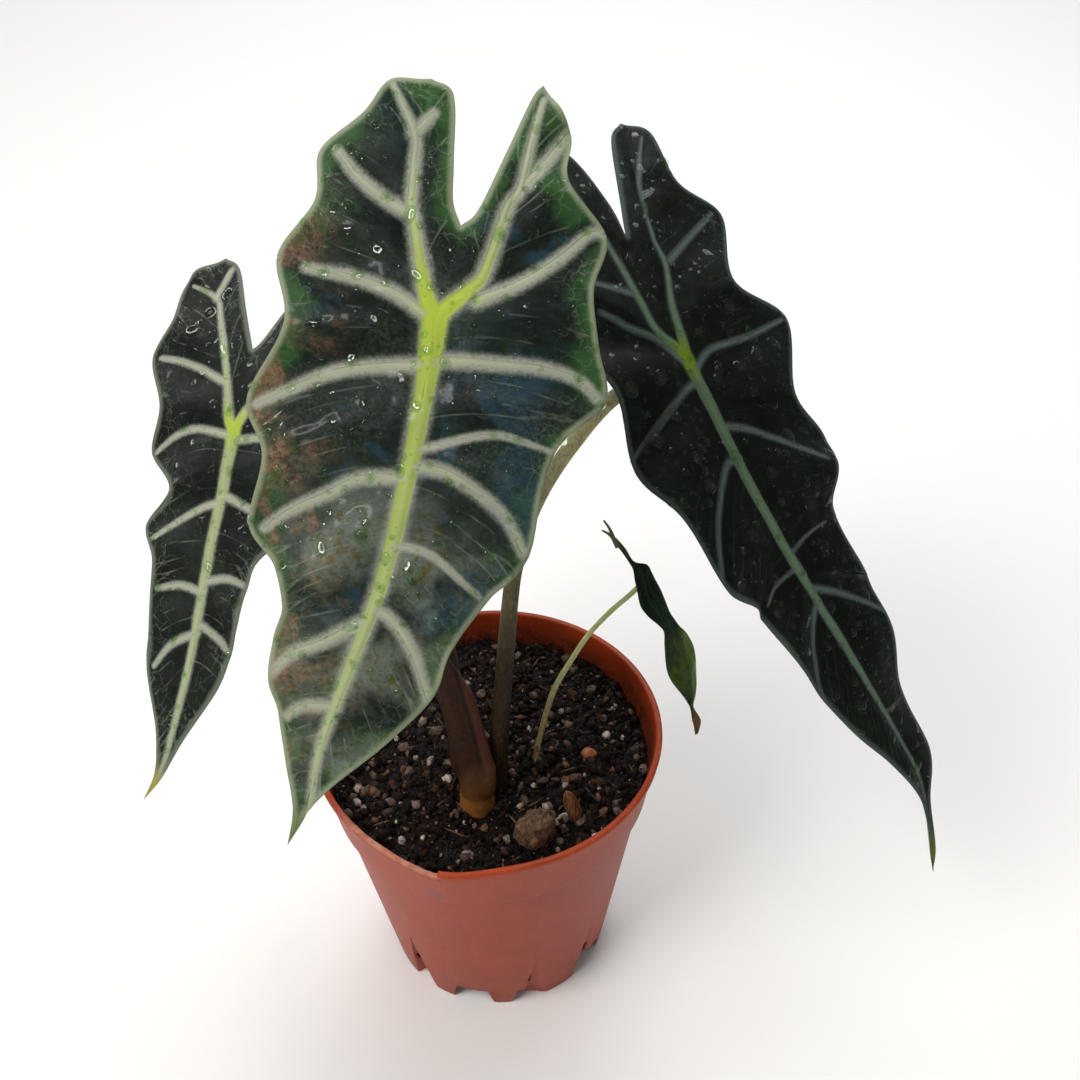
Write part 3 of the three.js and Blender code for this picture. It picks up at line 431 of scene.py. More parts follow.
ring_size = len(column_azimuth)
pot_points = np.vstack([[(0, 0, FLOOR_BOTTOM)], *pot_rings, [(0, 0, FLOOR_BOTTOM + WALL)]])
ring_number = np.concatenate([[0], np.repeat(np.arange(len(pot_rings)), ring_size), [len(pot_rings)]])
loss_at = np.concatenate([[0], np.tile(loss, len(pot_rings)), [0]])
rim_at = np.concatenate([[0], np.tile(rim_height, len(pot_rings)), [0]])
inner_side = (ring_number >= first_inner - 2).astype(float)
near_rim = smooth_step(pot_points[:, 2] - rim_at, -3.9, -3.1)
pot = make_piece("pot_moulding", pot_points, stack_faces(len(pot_rings), ring_size), {
    "inner_side": inner_side,
    "lip": near_rim * np.where(loss_at > 0.15, np.clip(1 - loss_at * 2.2, 0, 1), 1),
    "raw_edge": smooth_step(pot_points[:, 2] - rim_at, -0.7, -0.1) * smooth_step(loss_at, 0.35, 0.8),
})

# The draining slots are cut along the sharp edge of each fold.
slot_points, slot_faces = [], []
for flute, width in FLUTES:
    turn = math.radians(flute + SLOT_OFFSET) + width / 2 / BASE_RADIUS
    base = len(slot_points)
    for radius in SLOT_REACH:
        for across in (-width / 2, width / 2):
            for z in SLOT_HEIGHTS:
                slot_points.append((
                    radius * math.cos(turn) - across * math.sin(turn),
                    radius * math.sin(turn) + across * math.cos(turn), z))
    slot_faces += [tuple(base + k for k in face) for face in
                   ((0, 1, 3, 2), (4, 6, 7, 5), (0, 4, 5, 1), (2, 3, 7, 6), (0, 2, 6, 4), (1, 5, 7, 3))]
slots = make_piece("slots", slot_points, slot_faces)
cutter = pot.modifiers.new("slots", "BOOLEAN")
cutter.object = slots
cutter.operation = "DIFFERENCE"
cutter.solver = "EXACT"


def plain_mesh(piece):
    """A piece's mesh as its modifiers leave it."""
    graph = bpy.context.evaluated_depsgraph_get()
    seen = piece.evaluated_get(graph)
    return bpy.data.meshes.new_from_object(seen, preserve_all_data_layers=True, depsgraph=graph)


pot_mesh = plain_mesh(pot)
pot.modifiers.clear()
pot.data = pot_mesh
bpy.data.objects.remove(slots)

SMUDGE_PLACE = (-0.0172, -0.0540, 0.0868)

plastic = Finish("terracotta plastic")
side_mask = plastic.attribute("inner_side")
lip_mask = plastic.attribute("lip")
raw_mask = plastic.attribute("raw_edge")
height = plastic.along_axis("Z")
dirt = plastic.effect(grime, Scale=38.0, Amount=0.42, Speck=1500.0).outputs
cloud = plastic.noise(22.0, 4.0, 0.6)
streaks = plastic.noise(1.0, 4.0, 0.65, plastic.stretched((180.0, 180.0, 14.0)))
outside = plastic.mix(plastic.ramp(cloud, 0.3, 0.7), "94402F", "A4503F")
outside = plastic.mix(plastic.ramp(streaks, 0.5, 0.8, 0.0, 0.18), outside, "AE6A58")
from_smudge = plastic.on_pair("DISTANCE", plastic.place(), SMUDGE_PLACE).outputs["Value"]
smudge = plastic.times(plastic.ramp(from_smudge, 0.0065, 0.001),
                       plastic.mottled(420.0, 3.0, 0.5, 0.35, 0.6))
outside = plastic.mix(plastic.times(smudge, 0.55), outside, "6D5B5C")
low_dirt = plastic.times(plastic.ramp(height, 0.03, 0.0, 0.12, 0.5),
                         plastic.mottled(160.0, 4.0, 0.7, 0.45, 0.7))
outside = plastic.mix(low_dirt, outside, "6A3A2C")
# The inner wall takes a darker copy of the plastic's colour: painted shade.
inside = plastic.mix(plastic.mottled(60.0, 3.0, 0.5, 0.35, 0.65), "6A2710", "863617")
soil_line = plastic.times(plastic.ramp(height, 0.101, 0.093, 0.0, 0.9),
                          plastic.mottled(210.0, 5.0, 0.75, 0.42, 0.62))
inside = plastic.mix(soil_line, inside, "2A1710")
plastic.colour = plastic.mix(side_mask, outside, inside)
plastic.lay(lip_mask, plastic.mix(plastic.ramp(cloud, 0.35, 0.65), "963410", "B04218"))
plastic.lay(plastic.times(raw_mask, plastic.mottled(380.0, 3.0, 0.5, 0.3, 0.6, 0.2, 0.75)), "C08A70")
plastic.lay(dirt["Mask"], "5B382B", 0.35)
plastic.lay(dirt["Specks"], "D8A890", 0.25)
grain = plastic.noise(2600.0, 2.0, 0.5)
dents = plastic.bump(plastic.plus(plastic.times(grain, 0.35), streaks), 0.00012, 0.6)
plastic.set(Base_Color=plastic.colour, Normal=dents, Roughness=plastic.ramp(cloud, 0.3, 0.7, 0.42, 0.56),
            Specular_IOR_Level=0.22)
pot.data.materials.clear()
pot.data.materials.append(plastic.material)

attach(pot, "root")
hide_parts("pot")

# Peat mix
# The growing mix is damp dark peat, filled to a finger's width under the rim. Loose crumbs,
# white perlite grains, bark flakes and fibres lie all over its top, sunk to different depths.
SOIL_LEVEL = 92
SOIL_BACK_RISE = 2
# How high, how wide and from which seed the peat's top swells, from broad to fine.
SOIL_SWELLS = [(1.0, 17, 11), (0.8, 6.5, 12), (0.55, 2.6, 13), (0.35, 1.2, 14)]
PEAT_FOLD_HEIGHTS = (12.6, 18, 26, 35)
PEAT_WALL_HEIGHTS = (60, 78.6, 86)
PEAT_TO_WALL = 0.3
PEAT_EDGE_LEVEL = 90.5
PEAT_RINGS = 74


def soil_height(x, y):
    """Height of the peat's uneven top."""
    flat = np.stack([x, y, np.zeros_like(x)], axis=1)
    level = SOIL_LEVEL + SOIL_BACK_RISE * y / RIM_RADIUS
    for height, width, seed in SOIL_SWELLS:
        level = level + height * value_noise(flat / width, seed)
    return level


peat_bottom = FLOOR_BOTTOM + WALL + PEAT_TO_WALL
soil_rings = [floor_ring(peat_bottom)]
soil_rings += [wall_ring(z, WALL + 1.3) for z in PEAT_FOLD_HEIGHTS]
soil_rings += [wall_ring(z, WALL + 0.4) for z in PEAT_WALL_HEIGHTS]
edge = wall_ring(PEAT_EDGE_LEVEL, WALL + 0.25)
soil_rings.append(edge)
low_rings = len(soil_rings)
for share in np.linspace(0.985, 0.02, PEAT_RINGS):
    x, y = edge[:, 0] * share, edge[:, 1] * share
    at_wall = smooth_step(np.full(len(x), share), 0.9, 1.0)
    z = soil_height(x, y) + 1.2 * at_wall * value_noise(np.stack([x, y, 0 * x], axis=1) / 5, 15)
    soil_rings.append(np.stack([x, y, z], axis=1))
peat_middle = soil_height(np.zeros(1), np.zeros(1))[0]
soil_points = np.vstack([[(0, 0, peat_bottom)], *soil_rings, [(0, 0, peat_middle)]])
top_share = (np.arange(len(soil_points)) > (low_rings + 1) * ring_size).astype(float)
peat = make_piece("peat_bed", soil_points, stack_faces(len(soil_rings), ring_size), {"top": top_share})

damp = Finish("damp peat")
clods = damp.noise(170.0, 6.0, 0.7)
fibres = damp.cells(620.0, damp.place())
damp.colour = damp.mix(damp.ramp(clods, 0.35, 0.72), "080504", "21150E")
damp.lay(damp.mottled(900.0, 3.0, 0.6, 0.62, 0.75, 0.0, 0.5), "4C3729")
relief = damp.plus(damp.times(clods, 1.2), damp.ramp(fibres, 0.0, 0.25, 0.0, 0.6))
damp.set(Base_Color=damp.colour, Roughness=damp.mottled(300.0, 3.0, 0.5, 0.4, 0.6, 0.55, 0.95),
         Normal=damp.bump(relief, 0.0012, 0.9), Specular_IOR_Level=0.25)
peat.data.materials.append(damp.material)


def scatter_tree(name):
    """Geometry nodes that strew small lumps over a surface: named inputs, seeded, realized."""
    tree = bpy.data.node_groups.new(name, "GeometryNodeTree")
    tree.interface.new_socket(name="Surface", in_out="INPUT", socket_type="NodeSocketGeometry")
    sizes = {"Density": 1.0, "Least Size": 0.0005, "Most Size": 0.002, "Rarity of Big": 2.0,
             "Flatness": 0.7, "Length": 1.0, "Roughness": 0.3, "Lift": 0.0, "Spacing": 0.0,
             "Flat Base": 0.0, "Detail": 1, "Seed": 1, "Tumble": 1.0}
    for key, value in sizes.items():
        kind = "NodeSocketInt" if isinstance(value, int) else "NodeSocketFloat"
        socket = tree.interface.new_socket(name=key, in_out="INPUT", socket_type=kind)
        socket.default_value = value
    tree.interface.new_socket(name="Material", in_out="INPUT", socket_type="NodeSocketMaterial")
    tree.interface.new_socket(name="Strewn", in_out="OUTPUT", socket_type="NodeSocketGeometry")
    build = Finish(name, tree=tree)
    given = build.add("NodeGroupInput").outputs
    where_top = build.add("GeometryNodeInputNamedAttribute", {"Name": "top"},
                          data_type="FLOAT").outputs["Attribute"]
    points = build.add("GeometryNodeDistributePointsOnFaces", distribute_method="POISSON")
    spread = {"Mesh": given["Surface"], "Distance Min": given["Spacing"], "Density Max": given["Density"],
              "Density Factor": where_top, "Seed": given["Seed"]}
    for key, value in spread.items():
        build.put(points.inputs[key], value)

    def chance(low, high, offset):
        node = build.add("FunctionNodeRandomValue", data_type="FLOAT")
        floats = [s for s in node.inputs if s.name in ("Min", "Max") and s.type == "VALUE"]
        build.put(floats[0], low)
        build.put(floats[1], high)
        build.put(node.inputs["Seed"], build.plus(given["Seed"], offset))
        return [s for s in node.outputs if s.type == "VALUE"][0]

    pick = build.math("POWER", chance(0.0, 1.0, 11), given["Rarity of Big"])
    size_range = build.less(given["Most Size"], given["Least Size"])
    size = build.plus(given["Least Size"], build.times(pick, size_range))
    long_way = build.times(size, build.times(given["Length"], chance(0.75, 1.3, 12)))
    flat_way = build.times(size, build.times(given["Flatness"], chance(0.8, 1.2, 13)))
    scale = build.add("ShaderNodeCombineXYZ", {"X": long_way, "Y": size, "Z": flat_way}).outputs["Vector"]
    ball = build.add("GeometryNodeMeshIcoSphere",
                     {"Radius": 1.0, "Subdivisions": given["Detail"]}).outputs["Mesh"]
    jitter = build.add("FunctionNodeRandomValue", data_type="FLOAT_VECTOR")
    vectors = [s for s in jitter.inputs if s.type == "VECTOR"]
    build.put(vectors[0], (-1.0, -1.0, -1.0))
    build.put(vectors[1], (1.0, 1.0, 1.0))
    push = build.scaled([s for s in jitter.outputs if s.type == "VECTOR"][0], given["Roughness"])
    lump = build.add("GeometryNodeSetPosition", {"Geometry": ball, "Offset": push}).outputs["Geometry"]
    position = build.add("GeometryNodeInputPosition").outputs["Position"]
    low = build.add("ShaderNodeSeparateXYZ", {"Vector": position}).outputs["Z"]
    low = build.times(build.math("MAXIMUM", build.times(low, -1.0), 0.0), given["Flat Base"])
    raise_base = build.add("ShaderNodeCombineXYZ", {"Z": low}).outputs["Vector"]
    lump = build.add("GeometryNodeSetPosition",
                     {"Geometry": lump, "Offset": raise_base}).outputs["Geometry"]
    turns = build.add("ShaderNodeCombineXYZ", {
        "X": build.times(chance(-3.1, 3.1, 14), given["Tumble"]),
        "Y": build.times(chance(-3.1, 3.1, 15), given["Tumble"]),
        "Z": chance(-3.1, 3.1, 16)}).outputs["Vector"]
    spin = build.add("FunctionNodeEulerToRotation", {"Euler": turns}).outputs["Rotation"]
    turned = build.add("FunctionNodeRotateRotation", {
        "Rotation": points.outputs["Rotation"], "Rotate By": spin},
        rotation_space="LOCAL").outputs["Rotation"]
    placed = build.add("GeometryNodeInstanceOnPoints", {
        "Points": points.outputs["Points"], "Instance": lump, "Rotation": turned,
        "Scale": scale}).outputs["Instances"]
    raised = build.scaled((0.0, 0.0, 1.0), given["Lift"])
    moved = build.add("GeometryNodeTranslateInstances", {
        "Instances": placed, "Translation": raised, "Local Space": False}).outputs["Instances"]
    toned = build.add("GeometryNodeStoreNamedAttribute", {"Geometry": moved, "Name": "tone"},
                      data_type="FLOAT", domain="INSTANCE")
    build.put(toned.inputs["Value"], chance(0.0, 1.0, 17))
    real = build.add("GeometryNodeRealizeInstances",
                     {"Geometry": toned.outputs["Geometry"]}).outputs["Geometry"]
    smooth = build.add("GeometryNodeSetShadeSmooth",
                       {"Geometry": real, "Shade Smooth": True}).outputs["Geometry"]
    coated = build.add("GeometryNodeSetMaterial",
                       {"Geometry": smooth, "Material": given["Material"]}).outputs["Geometry"]
    build.put(build.add("NodeGroupOutput").inputs["Strewn"], coated)
    return tree


strewing = scatter_tree("strewing")


def strew(name, surface, finish, **sizes):
    """Runs the strewing over a surface, with its result as a plain mesh piece."""
    holder = in_scene(name, surface.data)
    modifier = holder.modifiers.new("strewing", "NODES")
    modifier.node_group = strewing
    for item in strewing.interface.items_tree:
        if item.in_out != "INPUT" or item.socket_type == "NodeSocketGeometry":
            continue
        key = item.name.replace(" ", "_")
        if item.name == "Material":
            modifier[item.identifier] = finish.material
        elif key in sizes:
            modifier[item.identifier] = sizes[key]
    mesh = plain_mesh(holder)
    bpy.data.objects.remove(holder)
    piece = in_scene(name, mesh)
    if not mesh.materials:
        mesh.materials.append(finish.material)
    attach(piece, "root")


crumb = Finish("peat crumbs")
tone = crumb.attribute("tone")
crumb.colour = crumb.mix(crumb.ramp(tone, 0.2, 0.95), "070402", "26170D")
crumb.lay(crumb.ramp(tone, 0.9, 1.0), "553A28")
crumb.lay(crumb.mottled(700.0, 4.0, 0.7, 0.45, 0.75, 0.0, 0.6), "170E09")
damp_sheen = crumb.mottled(800.0, 3.0, 0.6, 0.42, 0.62, 0.3, 0.9)
crumb.set(Base_Color=crumb.colour, Roughness=damp_sheen, Specular_IOR_Level=0.18,
          Normal=crumb.bump(crumb.noise(900.0, 5.0, 0.75), 0.0009, 1.0))

perlite = Finish("perlite")
tone = perlite.attribute("tone")
pores = perlite.noise(1400.0, 4.0, 0.65)
perlite.colour = perlite.mix(perlite.ramp(tone, 0.3, 1.0), "6B5344", "D2C2B4")
perlite.lay(perlite.mottled(420.0, 4.0, 0.7, 0.38, 0.58, 0.0, 0.85), "47342A")
perlite.set(Base_Color=perlite.colour, Roughness=0.8, Normal=perlite.bump(pores, 0.0004, 0.8))

flake = Finish("bark flakes")
tone = flake.attribute("tone")
flake.colour = flake.mix(tone, "2E1C12", "7A5136")
lines = flake.noise(1.0, 4.0, 0.6, flake.stretched((1300.0, 500.0, 500.0)))
flake.lay(flake.ramp(lines, 0.35, 0.7, 0.0, 0.6), "1C110B")
flake.set(Base_Color=flake.colour, Roughness=0.78, Normal=flake.bump(lines, 0.0005, 0.9))

clod = Finish("peat clods")
tone = clod.attribute("tone")
clod.colour = clod.mix(tone, "3A2518", "7C5E46")
pits = clod.noise(520.0, 4.0, 0.7)
clod.lay(clod.ramp(pits, 0.38, 0.6, 0.9, 0.0), "140C07")
clod.set(Base_Color=clod.colour, Roughness=0.75, Normal=clod.bump(pits, 0.0012, 1.0))

# Each kind of loose bit: its finish, how many lie on a square metre, and its sizes in metres.
PEAT_BITS = {
    "peat_crumbs": dict(
        finish=crumb, Density=1500000.0, Least_Size=0.00035, Most_Size=0.0023, Rarity_of_Big=5.5,
        Flatness=0.7, Length=1.25, Roughness=0.42, Detail=1, Seed=3, Tumble=1.0, Spacing=0.00082),
    "perlite_grains": dict(
        finish=perlite, Density=130000.0, Least_Size=0.0003, Most_Size=0.0021, Rarity_of_Big=4.0,
        Flatness=0.8, Length=1.1, Roughness=0.24, Detail=2, Seed=8, Tumble=1.0, Spacing=0.003, Lift=0.0004),
    "peat_clods": dict(
        finish=clod, Density=5000.0, Least_Size=0.0011, Most_Size=0.0022, Rarity_of_Big=1.3,
        Flatness=0.85, Length=1.1, Roughness=0.22, Detail=2, Seed=11, Tumble=1.0, Spacing=0.011,
        Lift=0.0006),
    "bark_flakes": dict(
        finish=flake, Density=22000.0, Least_Size=0.0006, Most_Size=0.002, Rarity_of_Big=2.6,
        Flatness=0.4, Length=1.9, Roughness=0.2, Detail=1, Seed=21, Tumble=0.25, Spacing=0.0045,
        Lift=0.0006),
    "peat_fibres": dict(
        finish=flake, Density=12000.0, Least_Size=0.00018, Most_Size=0.0004, Rarity_of_Big=1.0,
        Flatness=0.8, Length=12.0, Roughness=0.1, Detail=1, Seed=34, Tumble=0.08, Spacing=0.006,
        Lift=0.0009),
}
for name, facts in PEAT_BITS.items():
    strew(name, peat, **facts)
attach(peat, "root")
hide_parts("soil")

# Loose bark and stone
# A big knob of bark, a split chip and an orange clay pebble lie in the peat near the front right.
# They are natural lumps that stand out of it, held by their own weight.
BARK_LUMP = dict(centre=(16, -36.8, 96.2), size=(6.4, 6.2, 9.6), turn=25, seed=3, rough=0.16)
BARK_CHIP = dict(centre=(28.2, -29.8, 97.2), size=(2.7, 1.6, 9.5), turn=-14, seed=5, rough=0.08)
STONE = dict(centre=(35, -2.7, 92.6), size=(3.1, 2.6, 2.4), turn=40, seed=9, rough=0.12)


def lump_piece(name, lump, detail, finish, node):
    """A ball pushed in and out by noise, with ridges and pits, turned into its place."""
    shape = bpy.data.meshes.new(name)
    ball = bmesh.new()
    bmesh.ops.create_icosphere(ball, subdivisions=detail, radius=1)
    ball.to_mesh(shape)
    ball.free()
    at = np.array([v.co[:] for v in shape.vertices])
    knobs = lump["rough"] * rough_noise(at * 1.6 + lump["seed"], lump["seed"], 4)
    ridges = 0.5 * lump["rough"] * np.abs(value_noise(at * 4.2 + 9, lump["seed"] + 20))
    at = at * (0.96 + knobs - ridges)[:, None] * np.array(lump["size"])
    turn = math.radians(lump["turn"])
    x = at[:, 0] * math.cos(turn) + at[:, 2] * math.sin(turn)
    z = at[:, 2] * math.cos(turn) - at[:, 0] * math.sin(turn)
    at = np.stack([x, at[:, 1], z], axis=1) + np.array(lump["centre"])
    shape.vertices.foreach_set("co", (at * MM).ravel())
    shape.polygons.foreach_set("use_smooth", [True] * len(shape.polygons))
    shape.update()
    shape.materials.append(finish.material)
    piece = in_scene(name, shape)
    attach(piece, "root")
    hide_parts(node)


knob = Finish("old bark")
wrinkles = knob.math("ABSOLUTE", knob.less(knob.noise(130.0, 5.0, 0.6, distortion=1.4), 0.5))
cloud = knob.noise(190.0, 5.0, 0.65)
knob.colour = knob.mix(knob.ramp(cloud, 0.32, 0.68), "60422C", "94704E")
knob.lay(knob.ramp(wrinkles, 0.03, 0.0, 0.0, 0.7), "2C1C12")
dirt = knob.effect(grime, Scale=90.0, Amount=0.7, Speck=2200.0).outputs["Mask"]
knob.lay(dirt, "1A110B", 0.6)
relief = knob.plus(knob.ramp(wrinkles, 0.0, 0.06, 0.0, 0.6), cloud)
knob.set(Base_Color=knob.colour, Roughness=0.82, Normal=knob.bump(relief, 0.0008, 1.0))
lump_piece("bark_knob", BARK_LUMP, 5, knob, "bark_lump")

split = Finish("split bark")
chip_turn = (0.0, math.radians(BARK_CHIP["turn"]), 0.0)
grain = split.noise(1.0, 5.0, 0.6, split.stretched((1500.0, 900.0, 110.0), chip_turn))
split.colour = split.mix(split.ramp(grain, 0.35, 0.68), "4B2A14", "A3703C")
split.set(Base_Color=split.colour, Roughness=0.75, Normal=split.bump(grain, 0.0005, 1.0))
lump_piece("bark_splinter", BARK_CHIP, 5, split, "bark_chip")

clay = Finish("fired clay")
cloud = clay.noise(420.0, 5.0, 0.7)
clay.colour = clay.mix(clay.ramp(cloud, 0.35, 0.7), "8A4824", "B4784C")
clay.set(Base_Color=clay.colour, Roughness=0.8, Normal=clay.bump(cloud, 0.0006, 0.9))
lump_piece("clay_pebble", STONE, 4, clay, "clay_stone")

# Corm
# The ochre swelling at the foot of the oldest stem is the plant's corm, a starchy underground
# stem with a thin papery skin. It sits half sunk in the peat and the petioles rise out of it.
CORM = dict(x=-3.8, y=-22.4, radius=5.7, top=97.2, bottom=82, cap=4.4)
CORM_SIDES = 48

corm_points = [(CORM["x"], CORM["y"], CORM["bottom"])]
corm_profile = [
    (0.55, 0), (0.8, 0.08), (0.93, 0.2), (0.98, 0.35), (1, 0.5), (1.01, 0.62), (1.02, 0.74), (1.01, 0.84),
    (0.985, 0.93), (0.95, 1.02), (0.92, 1.1), (0.895, 1.17), (0.87, 1.23), (0.8, 1.27), (0.5, 1.29),
]
for reach, rise in corm_profile:
    angle = np.arange(CORM_SIDES) * 2 * math.pi / CORM_SIDES
    z = np.full(CORM_SIDES, CORM["bottom"] + rise * (CORM["top"] - CORM["bottom"]))
    ring = np.stack([np.cos(angle), np.sin(angle), z / 6], axis=1)
    swell = 1 + 0.05 * value_noise(ring * 1.7, 31) + 0.02 * value_noise(ring * 5, 32)
    radius = CORM["radius"] * reach * swell
    x, y = CORM["x"] + radius * np.cos(angle), CORM["y"] + radius * np.sin(angle)
    corm_points += list(zip(x, y, z))
corm_points.append((CORM["x"], CORM["y"], CORM["top"] + CORM["cap"]))
corm = make_piece("corm_swelling", corm_points, stack_faces(len(corm_profile), CORM_SIDES))

skin = Finish("corm skin")
cloud = skin.noise(240.0, 5.0, 0.65)
height = skin.along_axis("Z")
skin.colour = skin.mix(skin.ramp(cloud, 0.35, 0.68), "885018", "B87A30")
skin.lay(skin.ramp(height, 0.097, 0.1015, 0.0, 0.85), "4A2E18")
dirt = skin.effect(grime, Scale=120.0, Amount=0.85, Speck=2600.0).outputs["Mask"]
skin.lay(dirt, "3A2414", 0.6)
skin.set(Base_Color=skin.colour, Roughness=0.62, Normal=skin.bump(cloud, 0.0004, 0.8))
corm.data.materials.append(skin.material)
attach(corm, "root")
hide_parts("corm")

# Petioles
# Each leaf hangs from its own petiole, a smooth fleshy stalk. The left one is thick and red-brown
# with an open sheath at its foot, the right one is olive, and the young leaf's is thin and pale.
PETIOLES = dict(
    front=[(-8.5, -8, 84, 4.4), (-9.5, -4, 104, 4.1), (-11.5, 3, 125, 3.6), (-14, 9, 150, 3.4),
           (-15, 9.5, 185, 3.1), (-12, 4, 222, 3), (-8, -5, 254, 2.8)],
    left=[(-3.8, -22.4, 96.2, 5), (-3.8, -22.3, 101, 5), (-6, -18, 108, 4.8), (-10.5, -8, 125, 4.2),
          (-19, 1, 148, 3.6), (-34, 12, 172, 3.2), (-55, 25, 194, 2.9)],
    right=[(2.8, -14.8, 84, 3.4), (3.6, -12.9, 104, 3.3), (5.7, -5.9, 124.6, 3), (7.9, 1.5, 144.8, 2.8),
           (11.4, 10.5, 168.6, 2.6), (18.2, 18.5, 187, 2.5), (29.6, 26, 203.3, 2.5), (45.4, 35, 217, 2.5)],
    young=[(15.9, -4.8, 84, 1.1), (16.2, -4, 94, 1), (23, 6.3, 115.8, 1), (29.3, 10, 126.8, 0.9),
           (35.5, 13, 136, 0.9), (43, 15, 144.5, 0.9), (48.8, 16.2, 149.9, 0.9), (53.1, 16.1, 155.3, 0.9)],
)
PETIOLE_END = 1.4
PETIOLE_RUN = 9
PETIOLE_INTO_KEEL = 0.5
CURVE_SAMPLES = 60
SHEATH_WING = 3.6
SHEATH_AZIMUTH = math.radians(-12)
SHEATH_TOP = 0.36
SHEATH_RISE = 0.06
SHEATH_POINT = 0.12
SHEATH_THINNESS = 10

FRONT_LEAF = dict(
    junction=(-4.3, -27, 280.5),
    tip=(-49.6, -89, 157.6),
    facing=(-0.12, -0.87, 0.48),
    bend=0.12, lobe_bend=0.25, droop=0.001, wave=2.2,
    midrib=[(0, 145), (3, 132), (2, 114), (4, 90), (6, 66), (5, 42), (3, 20), (0, 0)],
    lines=dict(
        lobe=[
            [(0, 0), (-3.6, -4), (-8.6, -13.4), (-12.8, -21.4), (-14, -23.6), (-16.8, -34.8),
             (-19.1, -41.6), (-28.6, -52.3)],
            [(0, 0), (5.9, -8.7), (8.1, -14), (8.5, -30.6), (10, -36.3), (8.6, -49.9), (8.2, -59.5)],
        ],
        branch=[
            [(-19.1, -41.6), (-16.3, -47.9)],
            [(-13.8, -22.1), (-21.4, -24), (-29.4, -27.6), (-36.4, -32.5)],
            [(10.9, -37.4), (13.7, -44.5), (16.5, -53.9)],
            [(-3.1, -0.1), (-11.9, -2.7), (-22.7, -3.3), (-35, -2.2)],
            [(8.4, -6.5), (17.3, -13.8), (24.1, -22.4), (29, -30.8), (32.6, -32.5)],
            [(3, 11.1), (-0.5, 12.2), (-12.4, 16.4), (-21.7, 21), (-32.2, 29.4), (-37.2, 33.5)],
            [(2.5, 10.3), (6.2, 9.1), (17.1, 6.4), (29.2, 3.9), (37.7, 4.2), (43.2, 7)],
            [(4.7, 39.4), (2.3, 40.1), (-6.7, 43.2), (-13.4, 49.3), (-21.5, 56.4), (-26.9, 63)],
            [(4.6, 36.6), (6.5, 36), (13.7, 35.2), (22.7, 37.7), (30.9, 41.9), (37.2, 49)],
            [(4.9, 77.6), (3.2, 78.4), (-3.5, 85.1), (-10.9, 91), (-14.5, 97.3)],
            [(5.9, 73.7), (9.8, 74.3), (15.7, 78.6), (20.7, 85.2), (24.9, 92.8)],
            [(3.1, 101.4), (1.6, 101.9), (-5.1, 104.3), (-8.7, 108.8)],
        ],
        thin=[
            [(5.7, 57), (9.2, 55.8), (16.9, 56.3), (30.2, 62.9)],
            [(5.8, 31.1), (8.4, 30.2), (22, 22.9), (36.7, 22.8)],
        ],
    ),
    left=dict(
        margin=[(0, 145), (-1.1, 132.9), (-5.7, 120.9), (-11.2, 109.3), (-17.3, 91.8), (-16.7, 79.9),
                (-21, 70.8), (-31.2, 63.4), (-31.3, 44.7), (-40.3, 33.1), (-35.2, 12.2), (-43.1, -3.3),
                (-36.9, -18.2), (-41.1, -31.8), (-32.7, -43.6), (-29, -53.6), (-20, -56.6)],
        lobe_vein=[(0, 0), (-9, -14), (-14, -25), (-17, -37), (-20, -56.6)],
        inner=[(-1, -23), (-4.7, -28.2), (-7.8, -38), (-13.3, -54.1), (-20, -56.6)],
        veins=[(101, 3, 1), (77, 4.1, 2), (39, 7, 2), (11, 9, 4), (-4, 11, 0), (-23, 13, 1)],
        inner_veins=[(-42, 3, 0)],
    ),
    right=dict(
        margin=[(0, 145), (2, 135.9), (7.6, 123.3), (18.5, 106.7), (26.1, 92), (27.6, 77.4),
                (32.7, 62.5), (38.8, 49.1), (37.2, 23.3), (45.4, 7.5), (39.7, -5.3), (34.5, -17.8),
                (33.3, -31.8), (20.6, -41), (16.9, -54.2), (6.8, -63.4)],
        lobe_vein=[(0, 0), (6, -9), (8, -20), (9, -36), (6.8, -63.4)],
        inner=[(-1, -23), (1.8, -28), (3.8, -44.1), (5.3, -59.2), (6.8, -63.4)],
        veins=[(74, 4, 5), (57, 6, 4), (36, 7, 4), (31, 8, 3), (10, 9, 4), (-13, 12, 1), (-37, 14, 0)],
        inner_veins=[],
    ),
)
